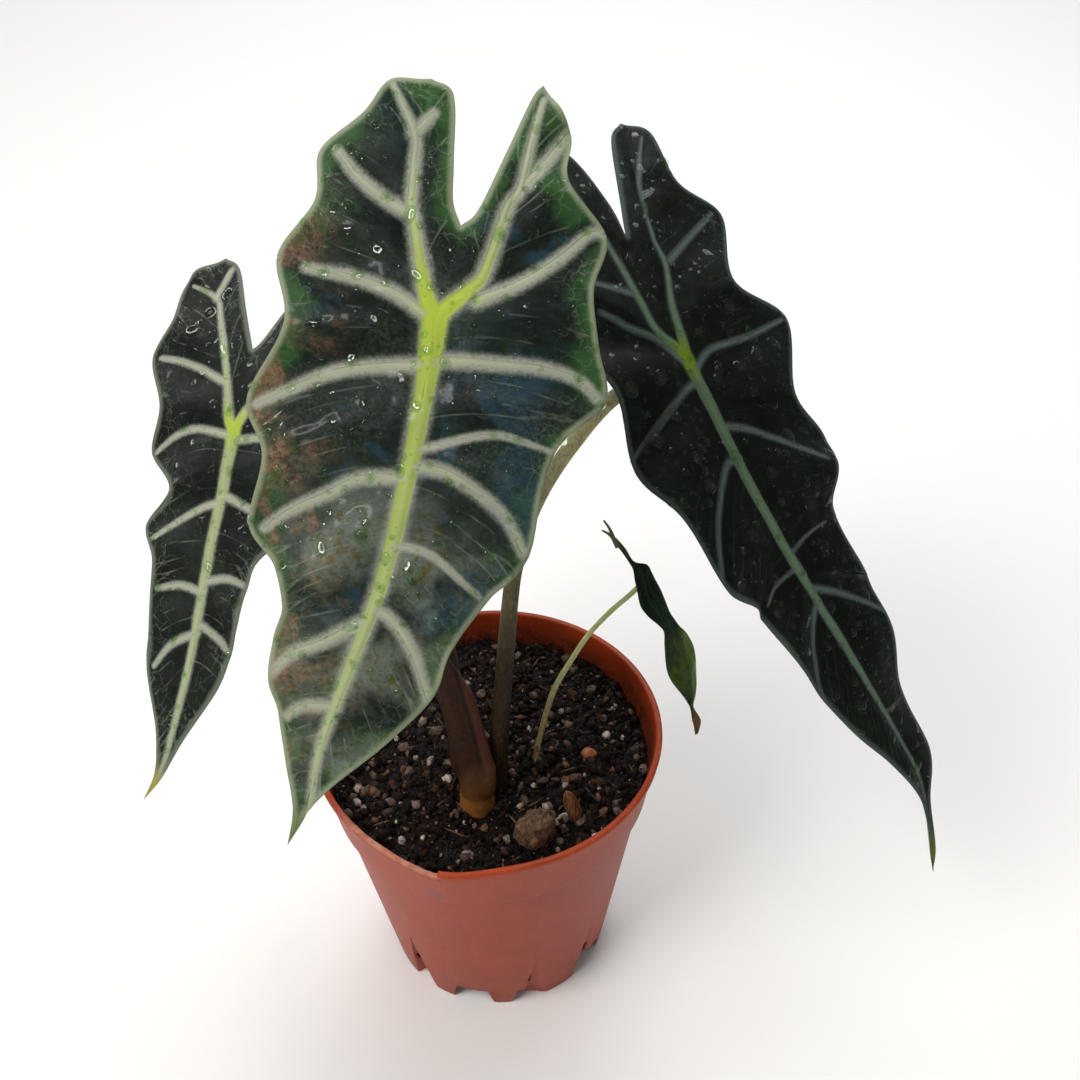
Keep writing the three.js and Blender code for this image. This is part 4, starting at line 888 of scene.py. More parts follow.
LEFT_LEAF = dict(
    junction=(-73.4, 27, 212.6),
    tip=(-105, -43.5, 123.4),
    facing=(-0.38, -0.66, 0.65),
    bend=0.12, lobe_bend=0.2, droop=0.001, wave=1.8,
    midrib=[(0, 118), (5, 106), (7, 88), (7, 66), (5, 44), (3, 20), (0, 0)],
    lines=dict(
        lobe=[
            [(0, 0), (-3, -2.8), (-8.3, -13.7), (-14.4, -24.9), (-20.6, -34.5), (-25.1, -40.3),
             (-37.5, -43.7)],
            [(0, 0), (5, -14), (10, -27), (15, -40), (22, -56)],
        ],
        branch=[
            [(-25.1, -40.3), (-24.1, -51.3)],
            [(-8.3, -13.7), (-12.1, -14.4), (-20.3, -16.3), (-29.6, -17.4), (-38.6, -17.3)],
            [(0, 1.8), (-2.2, 2.2), (-13.5, 2.6), (-21, 6.1), (-27.5, 13)],
            [(1.2, 3.1), (3.4, 2.7), (9.7, 0.7), (22, -2.5), (35, -7)],
            [(3.3, 23.2), (1.9, 23.5), (-5.2, 27.7), (-17.7, 39)],
            [(3.3, 21), (5, 20.6), (12.7, 22.3), (24, 24.5), (27, 27)],
            [(6.2, 50), (4, 50.5), (-3.3, 50.5), (-11.9, 53.6)],
            [(5.6, 47), (7.7, 46.4), (13.1, 44.5), (20.3, 45.4)],
            [(7.5, 63.1), (6.4, 63.4), (-1.3, 68.9), (-6.5, 77)],
            [(7.2, 61), (9, 60.5), (15.3, 62.9), (20, 66.6)],
            [(7.5, -20), (16, -24), (27, -29), (36, -33)],
            [(3.5, -9), (14, -14), (26, -18), (37, -21)],
        ],
    ),
    left=dict(
        margin=[(0, 118), (2.6, 106.9), (0.5, 95.8), (-9.7, 78.8), (-9.2, 67.7), (-15.1, 55.9),
                (-15, 44.7), (-23.5, 35.9), (-15.8, 22.8), (-29.8, 13.1), (-29.5, -1.4), (-42.5, -16.7),
                (-37.3, -30), (-41.3, -44.5), (-29, -55)],
        lobe_vein=[(0, 0), (-8, -14), (-14, -25), (-23, -38), (-29, -55)],
        inner=[(-4, -26), (-12.1, -38), (-21.7, -52), (-29, -55)],
        veins=[(63, 3, 1), (50, 5, 2), (23, 7, 2), (2, 9, 4), (-14, 11, 0), (-36, 13, 0)],
        inner_veins=[(-38, 2, 0)],
    ),
    right=dict(
        margin=[(0, 118), (5.4, 109), (10.7, 96.3), (18.2, 78.9), (19.7, 67.8), (21.1, 56.9),
                (19.6, 46.5), (25, 30.1), (29, 18), (33, 3), (34, -8), (40, -20), (37, -32), (34, -46),
                (22, -57)],
        lobe_vein=[(0, 0), (5, -14), (10, -27), (15, -40), (22, -57)],
        inner=[(-4, -26), (-1.6, -29.7), (4.4, -46.3), (14, -56), (22, -57)],
        veins=[(61, 4, 2), (47, 6, 2), (21, 7, 2), (3, 9, 2), (-14, 11, 0), (-36, 13, 0)],
        inner_veins=[],
    ),
)
RIGHT_LEAF = dict(
    junction=(66, 38.5, 226.3),
    tip=(146.7, -44, 78.5),
    facing=(0.535, -0.58, 0.615),
    bend=0.1, lobe_bend=0.15, droop=0.001, wave=2,
    midrib=[(0, 189), (7, 163), (7, 148), (2, 114), (-2, 84), (-4, 56), (-3, 28), (0, 0)],
    lines=dict(
        lobe=[
            [(0, 0), (2.6, -5.8), (7.1, -17.4), (14.1, -28.9), (16.3, -38.5), (22.7, -52),
             (31.1, -62.3), (40.2, -70.8)],
            [(0, 0), (-0.8, -4.4), (-4.1, -12.8), (-3, -23), (-0.6, -41.4), (1.2, -60), (3, -80)],
        ],
        branch=[
            [(16.8, -29.7), (30.8, -33.6), (47.6, -37.9)],
            [(-1.9, -0.2), (-5.5, -9.5), (-12.4, -17.4), (-18.8, -25.6)],
            [(-0.2, 3.5), (2.9, 3.1), (11, 1), (28.2, 3.6), (47, 4.5)],
            [(-1.8, 7.8), (-5.9, 7.7), (-18.1, 11.3), (-36.5, 17.8)],
            [(-1.6, 23.7), (0, 24.1), (8.8, 29.8), (20.6, 40.9), (29.7, 50.1)],
            [(-3.5, 33.5), (-9.2, 34.8), (-20.6, 46.4), (-26.7, 57), (-29.6, 63.7)],
            [(-1.6, 80.8), (7, 87), (15.7, 94.8), (22, 102.1)],
            [(-1.3, 86), (-5.2, 88.1), (-10.9, 96.3), (-14.2, 105.9), (-15, 115.1)],
            [(-3.6, -26), (-12, -33), (-24, -41)],
        ],
        thin=[
            [(-2.1, 72.3), (-5, 72.8), (-13.5, 73.8), (-19.2, 77.3)],
            [(-2.9, 67.2), (-0.8, 67.7), (7.8, 66.5), (17.8, 66.9)],
            [(5.1, 130.2), (6.7, 130.4), (15.6, 131.1)],
        ],
    ),
    left=dict(
        margin=[(0, 189), (3.3, 182.1), (4.7, 170), (3, 159.2), (-2.5, 144.3), (-8.3, 131.7),
                (-14.2, 115.5), (-20.3, 98.1), (-22.4, 80.9), (-28.5, 67.4), (-33.1, 40.2),
                (-36.7, 20.8), (-30.6, -3.2), (-34, -24), (-26, -40), (-24, -56), (-14, -73), (3, -84)],
        lobe_vein=[(0, 0), (-4, -13), (-3, -25), (0, -41), (3, -84)],
        inner=[(8, -43), (10.5, -55.2), (10.3, -74.7), (3, -84)],
        veins=[(86, 6, 4), (72, 8, 2), (34, 9, 6), (8, 11, 2), (-3, 13, 2), (-26, 15, 0)],
        inner_veins=[],
    ),
    right=dict(
        margin=[(0, 189), (3.7, 184.1), (8.9, 166.7), (17.9, 151.8), (17.3, 128.6), (24.7, 93.8),
                (21.2, 86.9), (25.1, 65.1), (37.1, 45.1), (31, 26.7), (50.2, 4.9), (34.2, -14.3),
                (51.7, -36.2), (40.7, -52.5), (45.2, -72.9), (38, -79)],
        lobe_vein=[(0, 0), (7, -17), (14, -29), (23, -52), (38, -79)],
        inner=[(8, -43), (12.8, -50.7), (28.9, -74), (38, -79)],
        veins=[(130, 4, 1), (81, 5, 1), (67, 7, 2), (24, 8, 2), (4, 10, 1), (-31, 12, 0)],
        inner_veins=[],
    ),
)


class LeafFrame:
    """The curved sheet that a blade lies in: x across it, y along it towards the tip, in mm."""

    def __init__(self, leaf):
        self.junction = np.array(leaf["junction"], dtype=float)
        chord = np.array(leaf["tip"], dtype=float) - self.junction
        self.along = chord / np.linalg.norm(chord)
        facing = np.array(leaf["facing"], dtype=float)
        facing = facing - facing @ self.along * self.along
        self.facing = facing / np.linalg.norm(facing)
        self.across = np.cross(self.facing, self.along)
        self.bend = math.radians(leaf["bend"])
        self.lobe_bend = math.radians(leaf["lobe_bend"])
        self.start = -self.bend * np.linalg.norm(chord) / 2
        self.droop = leaf["droop"]

    def normal(self, y):
        turn = self.start + np.where(y >= 0, self.bend, self.lobe_bend) * y
        return np.cos(turn)[..., None] * self.facing + np.sin(turn)[..., None] * self.along

    def at(self, x, y, lift):
        x, y = np.asarray(x, dtype=float), np.asarray(y, dtype=float)
        bend = np.where(y >= 0, self.bend, self.lobe_bend)
        turn = self.start + bend * y
        forward = (np.sin(turn) - math.sin(self.start)) / bend
        rise = (np.cos(turn) - math.cos(self.start)) / bend
        place = self.junction + forward[..., None] * self.along + rise[..., None] * self.facing
        return place + x[..., None] * self.across + (lift - self.droop * x * x)[..., None] * self.normal(y)


def tube_curve(stations, steps):
    """Evenly stepped centres and radii on a centripetal curve through the stations."""
    points = np.array(stations, dtype=float)
    points = np.vstack([2 * points[0] - points[1], points, 2 * points[-1] - points[-2]])
    rows = []
    for k in range(1, len(points) - 2):
        p0, p1, p2, p3 = points[k - 1:k + 3]
        strides = (p1 - p0, p2 - p1, p3 - p2)
        d0, d1, d2 = [max(np.linalg.norm(stride[:3]) ** 0.5, 1e-4) for stride in strides]
        t1 = ((p1 - p0) / d0 - (p2 - p0) / (d0 + d1) + (p2 - p1) / d1) * d1
        t2 = ((p2 - p1) / d1 - (p3 - p1) / (d1 + d2) + (p3 - p2) / d2) * d1
        square = -3 * p1 + 3 * p2 - 2 * t1 - t2
        cube = 2 * p1 - 2 * p2 + t1 + t2
        for t in np.linspace(0, 1, CURVE_SAMPLES, endpoint=k == len(points) - 3):
            row = p1 + t1 * t + square * t * t + cube * t ** 3
            row[3] = p1[3] + (p2[3] - p1[3]) * t
            rows.append(row)
    rows = np.array(rows)
    gone = np.concatenate([[0], np.cumsum(np.linalg.norm(np.diff(rows[:, :3], axis=0), axis=1))])
    even = np.linspace(0, gone[-1], steps + 1)
    return np.stack([np.interp(even, gone, rows[:, axis]) for axis in range(4)], axis=1)


def tube(stations, sides, steps, wing=None, roughen=0.0, seed=1):
    """Points, faces and share along a round tube, with an optional fin and slight unevenness."""
    rows = tube_curve(stations, steps)
    heading = np.gradient(rows[:, :3], axis=0)
    heading /= np.linalg.norm(heading, axis=1)[:, None]
    normal = np.cross(heading[0], (0.0, 1.0, 0.0) if abs(heading[0][1]) < 0.9 else (1.0, 0.0, 0.0))
    points, along = [rows[0, :3]], [0.0]
    for step, row in enumerate(rows):
        normal = normal - normal @ heading[step] * heading[step]
        normal /= np.linalg.norm(normal)
        second = np.cross(heading[step], normal)
        angle = np.arange(sides) * 2 * math.pi / sides
        out = np.cos(angle)[:, None] * normal + np.sin(angle)[:, None] * second
        radius = np.full(sides, row[3])
        if roughen:
            radius = radius * (1 + roughen * rough_noise(out * 1.3 + row[:3] / 9, seed))
        if wing is not None:
            radius = radius + wing(step / steps, out)
        points.extend(row[:3] + out * radius[:, None])
        along.extend([step / steps] * sides)
    points.append(rows[-1, :3])
    along.append(1.0)
    return np.array(points), stack_faces(steps + 1, sides), np.array(along)


def sheath_wing(share, out):
    """The open sheath: a thin wing up the right side of the stalk, cut off to a point."""
    towards = np.maximum(0, out[:, 0] * math.cos(SHEATH_AZIMUTH) + out[:, 1] * math.sin(SHEATH_AZIMUTH))
    towards = towards / max(towards.max(), 0.5)
    height = min(max(share / SHEATH_RISE, 0), 1) * min(max((SHEATH_TOP - share) / SHEATH_POINT, 0), 1)
    return SHEATH_WING * height * towards ** SHEATH_THINNESS


def under_blade(leaf):
    """Where a petiole meets its blade: it comes up square to the underside."""
    sheet = LeafFrame(leaf)
    return [tuple(sheet.at(0, PETIOLE_END, -back)) for back in (PETIOLE_RUN, PETIOLE_INTO_KEEL)]


def stalk_finish(name, low, low_dark, high, high_dark, blend_from, blend_to, edge=None, foot_glow=None):
    """Stalk skin: fine lengthwise mottling that runs from the foot's colours to the top's."""
    stalk = Finish(name)
    along = stalk.attribute("along")
    mottle = stalk.ramp(stalk.noise(1.0, 5.0, 0.7, stalk.stretched((1500.0, 1500.0, 420.0))), 0.38, 0.66)
    patch = stalk.mottled(150.0, 3.0, 0.6, 0.4, 0.65, 0.0, 0.5)
    foot = stalk.mix(mottle, low, low_dark)
    top = stalk.mix(mottle, high, high_dark)
    stalk.colour = stalk.mix(stalk.ramp(along, blend_from, blend_to), foot, top)
    stalk.lay(patch, stalk.mix(0.5, stalk.colour, low_dark))
    if edge is not None:
        wing = stalk.attribute("wing")
        stalk.lay(stalk.ramp(wing, 0.1, 0.4, 0.0, 0.9), edge)
        # The dark line along the groove where the sheath's wing leaves the stalk is painted shade.
        groove_shade = stalk.times(stalk.ramp(wing, 0.0, 0.04), stalk.ramp(wing, 0.2, 0.07, 0.0, 0.8))
        stalk.lay(groove_shade, "140B07")
    if foot_glow is not None:
        low_part = stalk.ramp(stalk.plus(along, stalk.times(patch, 0.03)), 0.1, 0.022)
        stalk.lay(low_part, foot_glow)
    speck = stalk.effect(grime, Scale=60.0, Amount=0.4, Speck=1800.0).outputs["Specks"]
    stalk.lay(speck, "1E140D", 0.35)
    stalk.set(Base_Color=stalk.colour, Normal=stalk.bump(mottle, 0.00015, 0.7), Specular_IOR_Level=0.25,
              Roughness=stalk.mottled(90.0, 3.0, 0.5, 0.35, 0.65, 0.42, 0.58))
    return stalk


STALK_STEPS = 150
STALKS = {
    "front": dict(leaf=FRONT_LEAF, slot="petiole_brown", sides=40, uneven=0.018,
                  colours=("3E2C1E", "2A1C12", "6E6444", "4C402C", 0.3, 0.9)),
    "left": dict(leaf=LEFT_LEAF, slot="petiole_brown", sides=40, uneven=0.018,
                 colours=("381D0F", "1E0F07", "5A4630", "3C2D1C", 0.35, 0.95, "50291E", "5E3C1A")),
    "right": dict(leaf=RIGHT_LEAF, slot="petiole_olive", sides=40, uneven=0.018,
                  colours=("3A2C18", "241A0E", "CCC898", "A8A470", 0.28, 0.85)),
    "young": dict(leaf=None, slot="petiole_green", sides=16, uneven=0.05,
                  colours=("C4B27E", "9C8E5C", "D2D698", "B6BE7C", 0.12, 0.6, None, "5E4028")),
}
WING_FROM = 5.3
WING_REACH = 3.5
ROOTLET_START = (16.2, -4.2, 98.4, 0.5)
ROOTLET_ENDS = [
    (15.0, -7.5, 96.5), (13.6, -4.0, 97.5), (19.2, -6.6, 96.4), (17.8, -1.6, 97), (14.6, -1.6, 96.6),
]
for key, facts in STALKS.items():
    stations = list(PETIOLES[key])
    if facts["leaf"] is not None:
        stations += [end + (stations[-1][3],) for end in under_blade(facts["leaf"])]
    sheathed = key == "left"
    wing = sheath_wing if sheathed else None
    points, faces, along = tube(stations, facts["sides"], STALK_STEPS, wing, facts["uneven"], 40)
    values = {"along": along, "wing": np.zeros(len(points))}
    if sheathed:
        centres = tube_curve(stations, STALK_STEPS)[:, :3]
        rings = points[1:-1].reshape(STALK_STEPS + 1, facts["sides"], 3)
        reach = np.linalg.norm(rings - centres[:, None, :], axis=2)
        values["wing"][1:-1] = np.clip((reach - WING_FROM) / WING_REACH, 0, 1).ravel()
    if key == "young":
        for end in ROOTLET_ENDS:
            middle = np.array(ROOTLET_START[:3]) * 0.45 + np.array(end) * 0.55 + (0, 0, 0.6)
            stations = [ROOTLET_START, tuple(middle) + (0.28,), tuple(end) + (0.12,)]
            fine_points, fine_faces, _ = tube(stations, 8, 8)
            faces = faces + [tuple(len(points) + k for k in face) for face in fine_faces]
            points = np.vstack([points, fine_points])
        values = {"along": np.concatenate([along, np.zeros(len(points) - len(along))])}
    stem = make_piece("stalk_" + key, points, faces, values)
    stem.data.materials.append(stalk_finish("petiole " + key, *facts["colours"]).material)
    node, slot_name = "petiole_" + key, facts["slot"]
    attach(stem, "root")
    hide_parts(node)

# Blades
# The three big blades are leathery arrow-shaped leaves with waved margins, near black on top and
# dull purple below. Pale felt lies along each vein, and the midrib and lobe veins are lime green.
HALF_THICKNESS = 0.3
MARGIN_THICKNESS = 0.16
QUILT_HEIGHT = 1.2
FULL_WAVE_REACH = 22
FULL_QUILT_REACH = 25
ROW_STEP = 0.8
ACROSS_STEPS = 42
SPINE_SAMPLES = 4001
LINE_SAMPLE = 0.12
WELDS_PER_MM = 5000
THINNED_MARGIN = 1.4
DRY_MARGIN = 0.9
RIB_FADE = 5
PALER_FROM = 8
PALER_OVER = 55
VEINLET_GAP = 5
VEINLET_POINTS = 50
FORK_START = 32
LOBE_VEINLETS = 4
LOBE_VEINLET_POINTS = 40
# Half widths of a vein's bare core and of its felt, root to end, its rib height, and how lime
# green its core is, root to end.
VEIN_KINDS = {
    "midrib": dict(core=(2.7, 2.2, 2.05, 1.75, 1.35, 0.8, 0.35), felt=(7.4, 6.8, 6.6, 6.2, 5.2, 4.0, 2.2),
                   rib=0.6, lime=(1, 0.12)),
    "lobe": dict(core=(1.9, 1.2, 0.95, 0.8, 0.45), felt=(7.0, 5.8, 5.0, 4.2, 2.2), rib=0.42,
                 lime=(1, -0.3)),
    "branch": dict(core=(1.0, 0.78, 0.6, 0.4), felt=(5.4, 5.0, 4.6, 3.6), rib=0.3, lime=(0.42, -0.9)),
    "thin": dict(core=(0.36, 0.3, 0.22), felt=(3.2, 2.8, 2.0), rib=0.18, lime=(0.1, -0.9)),
}


def curve_through(points):
    """A smooth curve through flat points, read by index."""
    known = np.array(points, dtype=float)
    known = np.vstack([2 * known[0] - known[1], known, 2 * known[-1] - known[-2]])

    def read(index):
        index = np.clip(np.asarray(index, dtype=float), 0, len(known) - 3)
        k = np.minimum(np.floor(index).astype(int), len(known) - 4)
        t = (index - k)[..., None]
        p0, p1, p2, p3 = known[k], known[k + 1], known[k + 2], known[k + 3]
        v0, v1 = 0.5 * (p2 - p0), 0.5 * (p3 - p1)
        cube, square = 2 * p1 - 2 * p2 + v0 + v1, -3 * p1 + 3 * p2 - 2 * v0 - v1
        return cube * t ** 3 + square * t ** 2 + v0 * t + p1

    return read


def spine_through(points):
    """The spine's x at a height y, from points that fall in y."""
    line = curve_through(points)(np.linspace(0, len(points) - 1, SPINE_SAMPLES))
    order = np.argsort(line[:, 1])

    def read(y):
        y = np.asarray(y, dtype=float)
        return np.stack([np.interp(y, line[order, 1], line[order, 0]), y], axis=-1)

    return read


class Rows:
    """Rows that run from the spine to an edge, each a bowed line that follows the veins."""

    def __init__(self, spine, edge, veins, bounds, wave):
        self.spine = spine
        self.edge = edge
        self.marks = np.array([(bounds[0], bounds[1], 0), *veins, (bounds[2], bounds[3], 0)], dtype=float)
        self.wave = wave

    def lay(self, y, share):
        """Flat place, lift and reach of the points at root heights y and shares along."""
        k = np.zeros(y.shape, dtype=int)
        for j in range(1, len(self.marks) - 1):
            k = np.where(y < self.marks[j, 0], j, k)
        near, far = self.marks[k], self.marks[k + 1]
        part = np.clip((near[..., 0] - y) / (near[..., 0] - far[..., 0]), 0, 1)
        root = self.spine(y)
        end = self.edge(near[..., 1] + (far[..., 1] - near[..., 1]) * part)
        middle = (root + end) / 2
        middle[..., 1] -= 2 * (near[..., 2] + (far[..., 2] - near[..., 2]) * part)
        reach = np.linalg.norm(root - end, axis=-1)
        u = share[..., None]
        flat = (1 - u) ** 2 * root + 2 * u * (1 - u) * middle + u * u * end
        wave = self.wave * np.clip(reach / FULL_WAVE_REACH, 0, 1)
        quilt = QUILT_HEIGHT * np.sin(math.pi * part) ** 2 * np.sin(math.pi * share)
        quilt = quilt * np.clip(reach / FULL_QUILT_REACH, 0, 1)
        return flat, quilt - wave * share ** 2 * np.cos(2 * math.pi * part), reach


def samples_along(line, *measures):
    """Close samples of a flat line, each with its measures spread evenly from root to end."""
    line = np.array(line, dtype=float)
    gone = np.concatenate([[0], np.cumsum(np.linalg.norm(np.diff(line, axis=0), axis=1))])
    even = np.linspace(0, gone[-1], max(2, int(gone[-1] / LINE_SAMPLE)))
    columns = [np.interp(even, gone, line[:, 0]), np.interp(even, gone, line[:, 1])]
    columns += [np.interp(even / gone[-1], np.linspace(0, 1, len(numbers)), numbers)
                for numbers in measures]
    return np.stack(columns, axis=1)


def nearest_sample(places, samples):
    """Distance from each flat place to its nearest sample, and that sample's measures."""
    tree = KDTree(len(samples))
    for k, point in enumerate(samples):
        tree.insert((point[0], point[1], 0), k)
    tree.balance()
    found = [tree.find((p[0], p[1], 0)) for p in places]
    return np.array([hit[2] for hit in found]), samples[[hit[1] for hit in found], 2:]


def veinlets(outer, inner, lobe_y, chance):
    """Fine side veins between the main ones: wavering lines, some forked near the margin."""
    lines = []
    stops = [mark[0] for mark in outer.marks]
    for a, b in zip(stops, stops[1:]):
        count = max(2, int(round((a - b) / VEINLET_GAP)))
        for k in range(1, count):
            root_y = a + (b - a) * (k + chance.uniform(-0.25, 0.25)) / count
            first, last = (0.05, chance.uniform(0.7, 1)) if k % 2 else (chance.uniform(0.35, 0.6), 1)
            share = first + (last - first) * np.linspace(0, 1, VEINLET_POINTS)
            line = outer.lay(np.full(VEINLET_POINTS, root_y), share)[0]
            line[:, 1] += chance.uniform(0.4, 1.1) * np.sin(share * chance.uniform(6, 14) + root_y) * share
            lines.append(line)
            if last > 0.95:
                fork = line[FORK_START:].copy()
                fork[:, 1] += np.linspace(0, chance.choice([-3, 3]), len(fork))
                lines.append(fork)
    for k in range(1, LOBE_VEINLETS + 1):
        share = np.linspace(0.1, 0.8, LOBE_VEINLET_POINTS)
        line = inner.lay(np.full(LOBE_VEINLET_POINTS, lobe_y * k / (LOBE_VEINLETS + 1)), share)[0]
        line[:, 1] += 0.7 * np.sin(share * 9 + k)
        lines.append(line)
    return lines


def blade_mesh(name, leaf, scale, felt_scale, finishes, seed):
    """A blade as one closed sheet: fine rows on both faces, ribs raised along its veins."""
    frame_of = LeafFrame(leaf)
    chance = np.random.default_rng(seed)
    grids, fine, borders_of = [], [], []
    tip_y = leaf["midrib"][0][1]
    for key in ("left", "right"):
        side = leaf[key]
        spine = spine_through(leaf["midrib"] + side["lobe_vein"][1:])
        lobe_y = side["lobe_vein"][-1][1]
        margin, inner_edge = curve_through(side["margin"]), curve_through(side["inner"])
        margin_end, inner_end = len(side["margin"]) - 1, len(side["inner"]) - 1
        outer = Rows(spine, margin, side["veins"], (tip_y, 0, lobe_y, margin_end), leaf["wave"])
        inner = Rows(spine, inner_edge, side["inner_veins"], (0, 0, lobe_y, inner_end), 0)
        near = np.linspace(0, 1, ACROSS_STEPS + 1) ** 1.15
        heights = []
        for high, low in ((tip_y, 0), (0, lobe_y)):
            heights.append(np.linspace(high, low, int((high - low) / ROW_STEP) + 1)[:-1])
        heights = np.concatenate(heights + [[lobe_y]])
        bands = ((outer, heights, key == "left"), (inner, heights[heights <= 0], key == "right"))
        for rows, band_heights, turned in bands:
            y, share = np.meshgrid(band_heights, near, indexing="ij")
            flat, lift, _ = rows.lay(y, share)
            grids.append((flat, lift, y, share, turned))
        fine += veinlets(outer, inner, lobe_y, chance)
        borders_of.append(margin(np.linspace(0, margin_end, 500)))
        borders_of.append(inner_edge(np.linspace(0, inner_end, 200)))

    flats, lifts, lanes, faces, offset = [], [], [], [], 0
    for flat, lift, y, share, turned in grids:
        rows, columns = y.shape
        index = offset + np.arange(rows * columns).reshape(rows, columns)
        a, b, c, d = index[:-1, :-1], index[:-1, 1:], index[1:, 1:], index[1:, :-1]
        faces.append(np.stack([a, b, c, d] if turned else [a, d, c, b], axis=-1).reshape(-1, 4))
        flats.append(flat.reshape(-1, 2))
        lifts.append(lift.ravel())
        lanes.append(np.stack([y.ravel(), share.ravel()], axis=1))
        offset += rows * columns
    flat, lift, lane, faces = np.vstack(flats), np.concatenate(lifts), np.vstack(lanes), np.vstack(faces)
    keys = np.round(np.column_stack([flat, lift]) * WELDS_PER_MM).astype(np.int64)
    _, first, back = np.unique(keys, axis=0, return_index=True, return_inverse=True)
    flat, lift, lane, faces = flat[first], lift[first], lane[first], back.ravel()[faces]

    main_line = spine_through(leaf["midrib"])(np.linspace(0, tip_y, 200))
    groups = {"midrib": [main_line], "lobe": [], "branch": [], "thin": []}
    for kind, lines in leaf["lines"].items():
        for points in lines:
            groups[kind].append(curve_through(points)(np.linspace(0, len(points) - 1, 12 * len(points))))
    core = np.full(len(flat), 99.0)
    felt = core.copy()
    lime, rib_up, rib_down = np.zeros((3, len(flat)))
    for kind, lines in groups.items():
        if not lines:
            continue
        size = VEIN_KINDS[kind]
        traced = []
        for line in lines:
            paler = 0 if kind == "midrib" else max(0, np.linalg.norm(line[0]) - PALER_FROM) / PALER_OVER
            lime_shares = [share - paler for share in size["lime"]]
            traced.append(samples_along(line, size["core"], size["felt"], lime_shares))
        far, told = nearest_sample(flat, np.vstack(traced))
        ratio = far / (told[:, 0] * scale)
        lime = np.where(ratio < core, told[:, 2], lime)
        core = np.minimum(core, ratio)
        felt = np.minimum(felt, far / (told[:, 1] * felt_scale))
        width = np.maximum(told[:, 0] * scale, 0.6)
        rib_up = np.maximum(rib_up, size["rib"] * np.exp(-1.1 * (far / width) ** 2))
        lower_rib = (0.3 + size["rib"]) * np.exp(-1.1 * (far / np.minimum(width, 1.6)) ** 2)
        rib_down = np.maximum(rib_down, lower_rib)
    edge = nearest_sample(flat, np.vstack([samples_along(line) for line in borders_of]))[0]
    fine_far = nearest_sample(flat, np.vstack([samples_along(line) for line in fine]))[0]
    tip_far = np.linalg.norm(flat - np.array([0, tip_y]), axis=1)
    thick = MARGIN_THICKNESS + (HALF_THICKNESS - MARGIN_THICKNESS) * smooth_step(edge, 0, THINNED_MARGIN)
    fade = smooth_step(edge, 0, RIB_FADE)
    deep = np.stack([flat[:, 0], flat[:, 1], np.zeros(len(flat))], axis=1)
    uneven = 0.25 * value_noise(deep / 6, 51) + 0.1 * value_noise(deep / 2.4, 52)
    lift = lift + smooth_step(edge, 0, 3) * uneven
    middle = frame_of.at(flat[:, 0], flat[:, 1], lift)
    normal = frame_of.normal(flat[:, 1])
    top = middle + normal * (thick + fade * rib_up)[:, None]
    under = middle - normal * (thick + fade * rib_down)[:, None]

    count = len(flat)
    kept, borders = [], {}
    for face in faces:
        corners = [int(v) for k, v in enumerate(face) if v != face[k - 1]]
        if len(set(corners)) < 3:
            continue
        kept.append(tuple(corners))
        for a, b in zip(corners, corners[1:] + corners[:1]):
            if (b, a) in borders:
                del borders[b, a]
            else:
                borders[a, b] = True
    all_faces = kept + [tuple(count + v for v in reversed(face)) for face in kept]
    slots_of = [0] * len(kept) + [1] * len(kept)
    for a, b in borders:
        all_faces.append((b, a, count + a, count + b))
        slots_of.append(0)
    values = {"core": core, "felt": felt, "lime": lime, "edge": edge, "fine": fine_far, "tip_far": tip_far,
              "lane": lane[:, 0], "share": lane[:, 1]}
    values = {key: np.concatenate([numbers, numbers]) for key, numbers in values.items()}
    values["top"] = np.concatenate([(edge > DRY_MARGIN).astype(float), np.zeros(count)])
    piece = make_piece(name, np.vstack([top, under]), all_faces, values, slots_of)
    for finish in finishes:
        piece.data.materials.append(finish.material)
    return piece


# The pattern of a blade, read from its own measurements: felt, core, fine veins, rim, tip.
leaf_pattern, made = effect_group("leaf pattern", {"Reach": 16.0}, (
    "Felt", "Core", "Crest", "Lime", "Fine", "Rim", "Tip", "Grain", "Border", "Mist", "Hub", "Haze",
    "Wet", "Height"))
hairs = made.noise(1300.0, 3.0, 0.6)
lanes = made.add("ShaderNodeCombineXYZ", {
    "X": made.times(made.attribute("lane"), 0.9),
    "Y": made.times(made.attribute("share"), 11.0)}).outputs["Vector"]
strands = made.noise(1.0, 4.0, 0.6, lanes)
fuzzy = made.plus(made.attribute("felt"), made.times(made.less(hairs, 0.5), 0.55))
core_mask = made.ramp(made.attribute("core"), 1.2, 0.75)
# Crest marks the middle of each vein's core, where a painted highlight is laid.
made.give(Felt=made.math("POWER", made.ramp(fuzzy, 1.15, 0.25), 1.3), Core=core_mask,
          Crest=made.ramp(made.attribute("core"), 0.75, 0.0),
          Lime=made.ramp(made.attribute("lime"), 0.0, 1.0))
near_margin = made.ramp(made.attribute("edge"), 22.0, 3.0, 0.45, 1.0)
broken = made.mottled(90.0, 2.0, 0.5, 0.3, 0.55, 0.25, 1.0)
fine_line = made.times(made.ramp(made.attribute("fine"), 0.42, 0.02), made.times(near_margin, broken))
sway = made.add("ShaderNodeTexNoise",
                {"Vector": made.place(), "Scale": 320.0, "Detail": 3.0}).outputs["Color"]
bent = made.on_pair("ADD", made.place(), made.scaled(sway, 0.0045)).outputs["Vector"]
cells = made.cells(210.0, bent)
net = made.times(made.ramp(cells, 0.045, 0.0), made.ramp(made.attribute("edge"), 13.0, 2.0, 0.0, 0.5))
fine_line = made.math("MAXIMUM", fine_line, made.times(net, broken))
ragged = made.plus(made.attribute("edge"), made.times(made.less(hairs, 0.5), 0.6))
made.give(Fine=fine_line, Rim=made.ramp(ragged, 2.1, 0.4), Grain=made.ramp(strands, 0.35, 0.7),
          Tip=made.ramp(made.attribute("tip_far"), 15.0, 6.0))
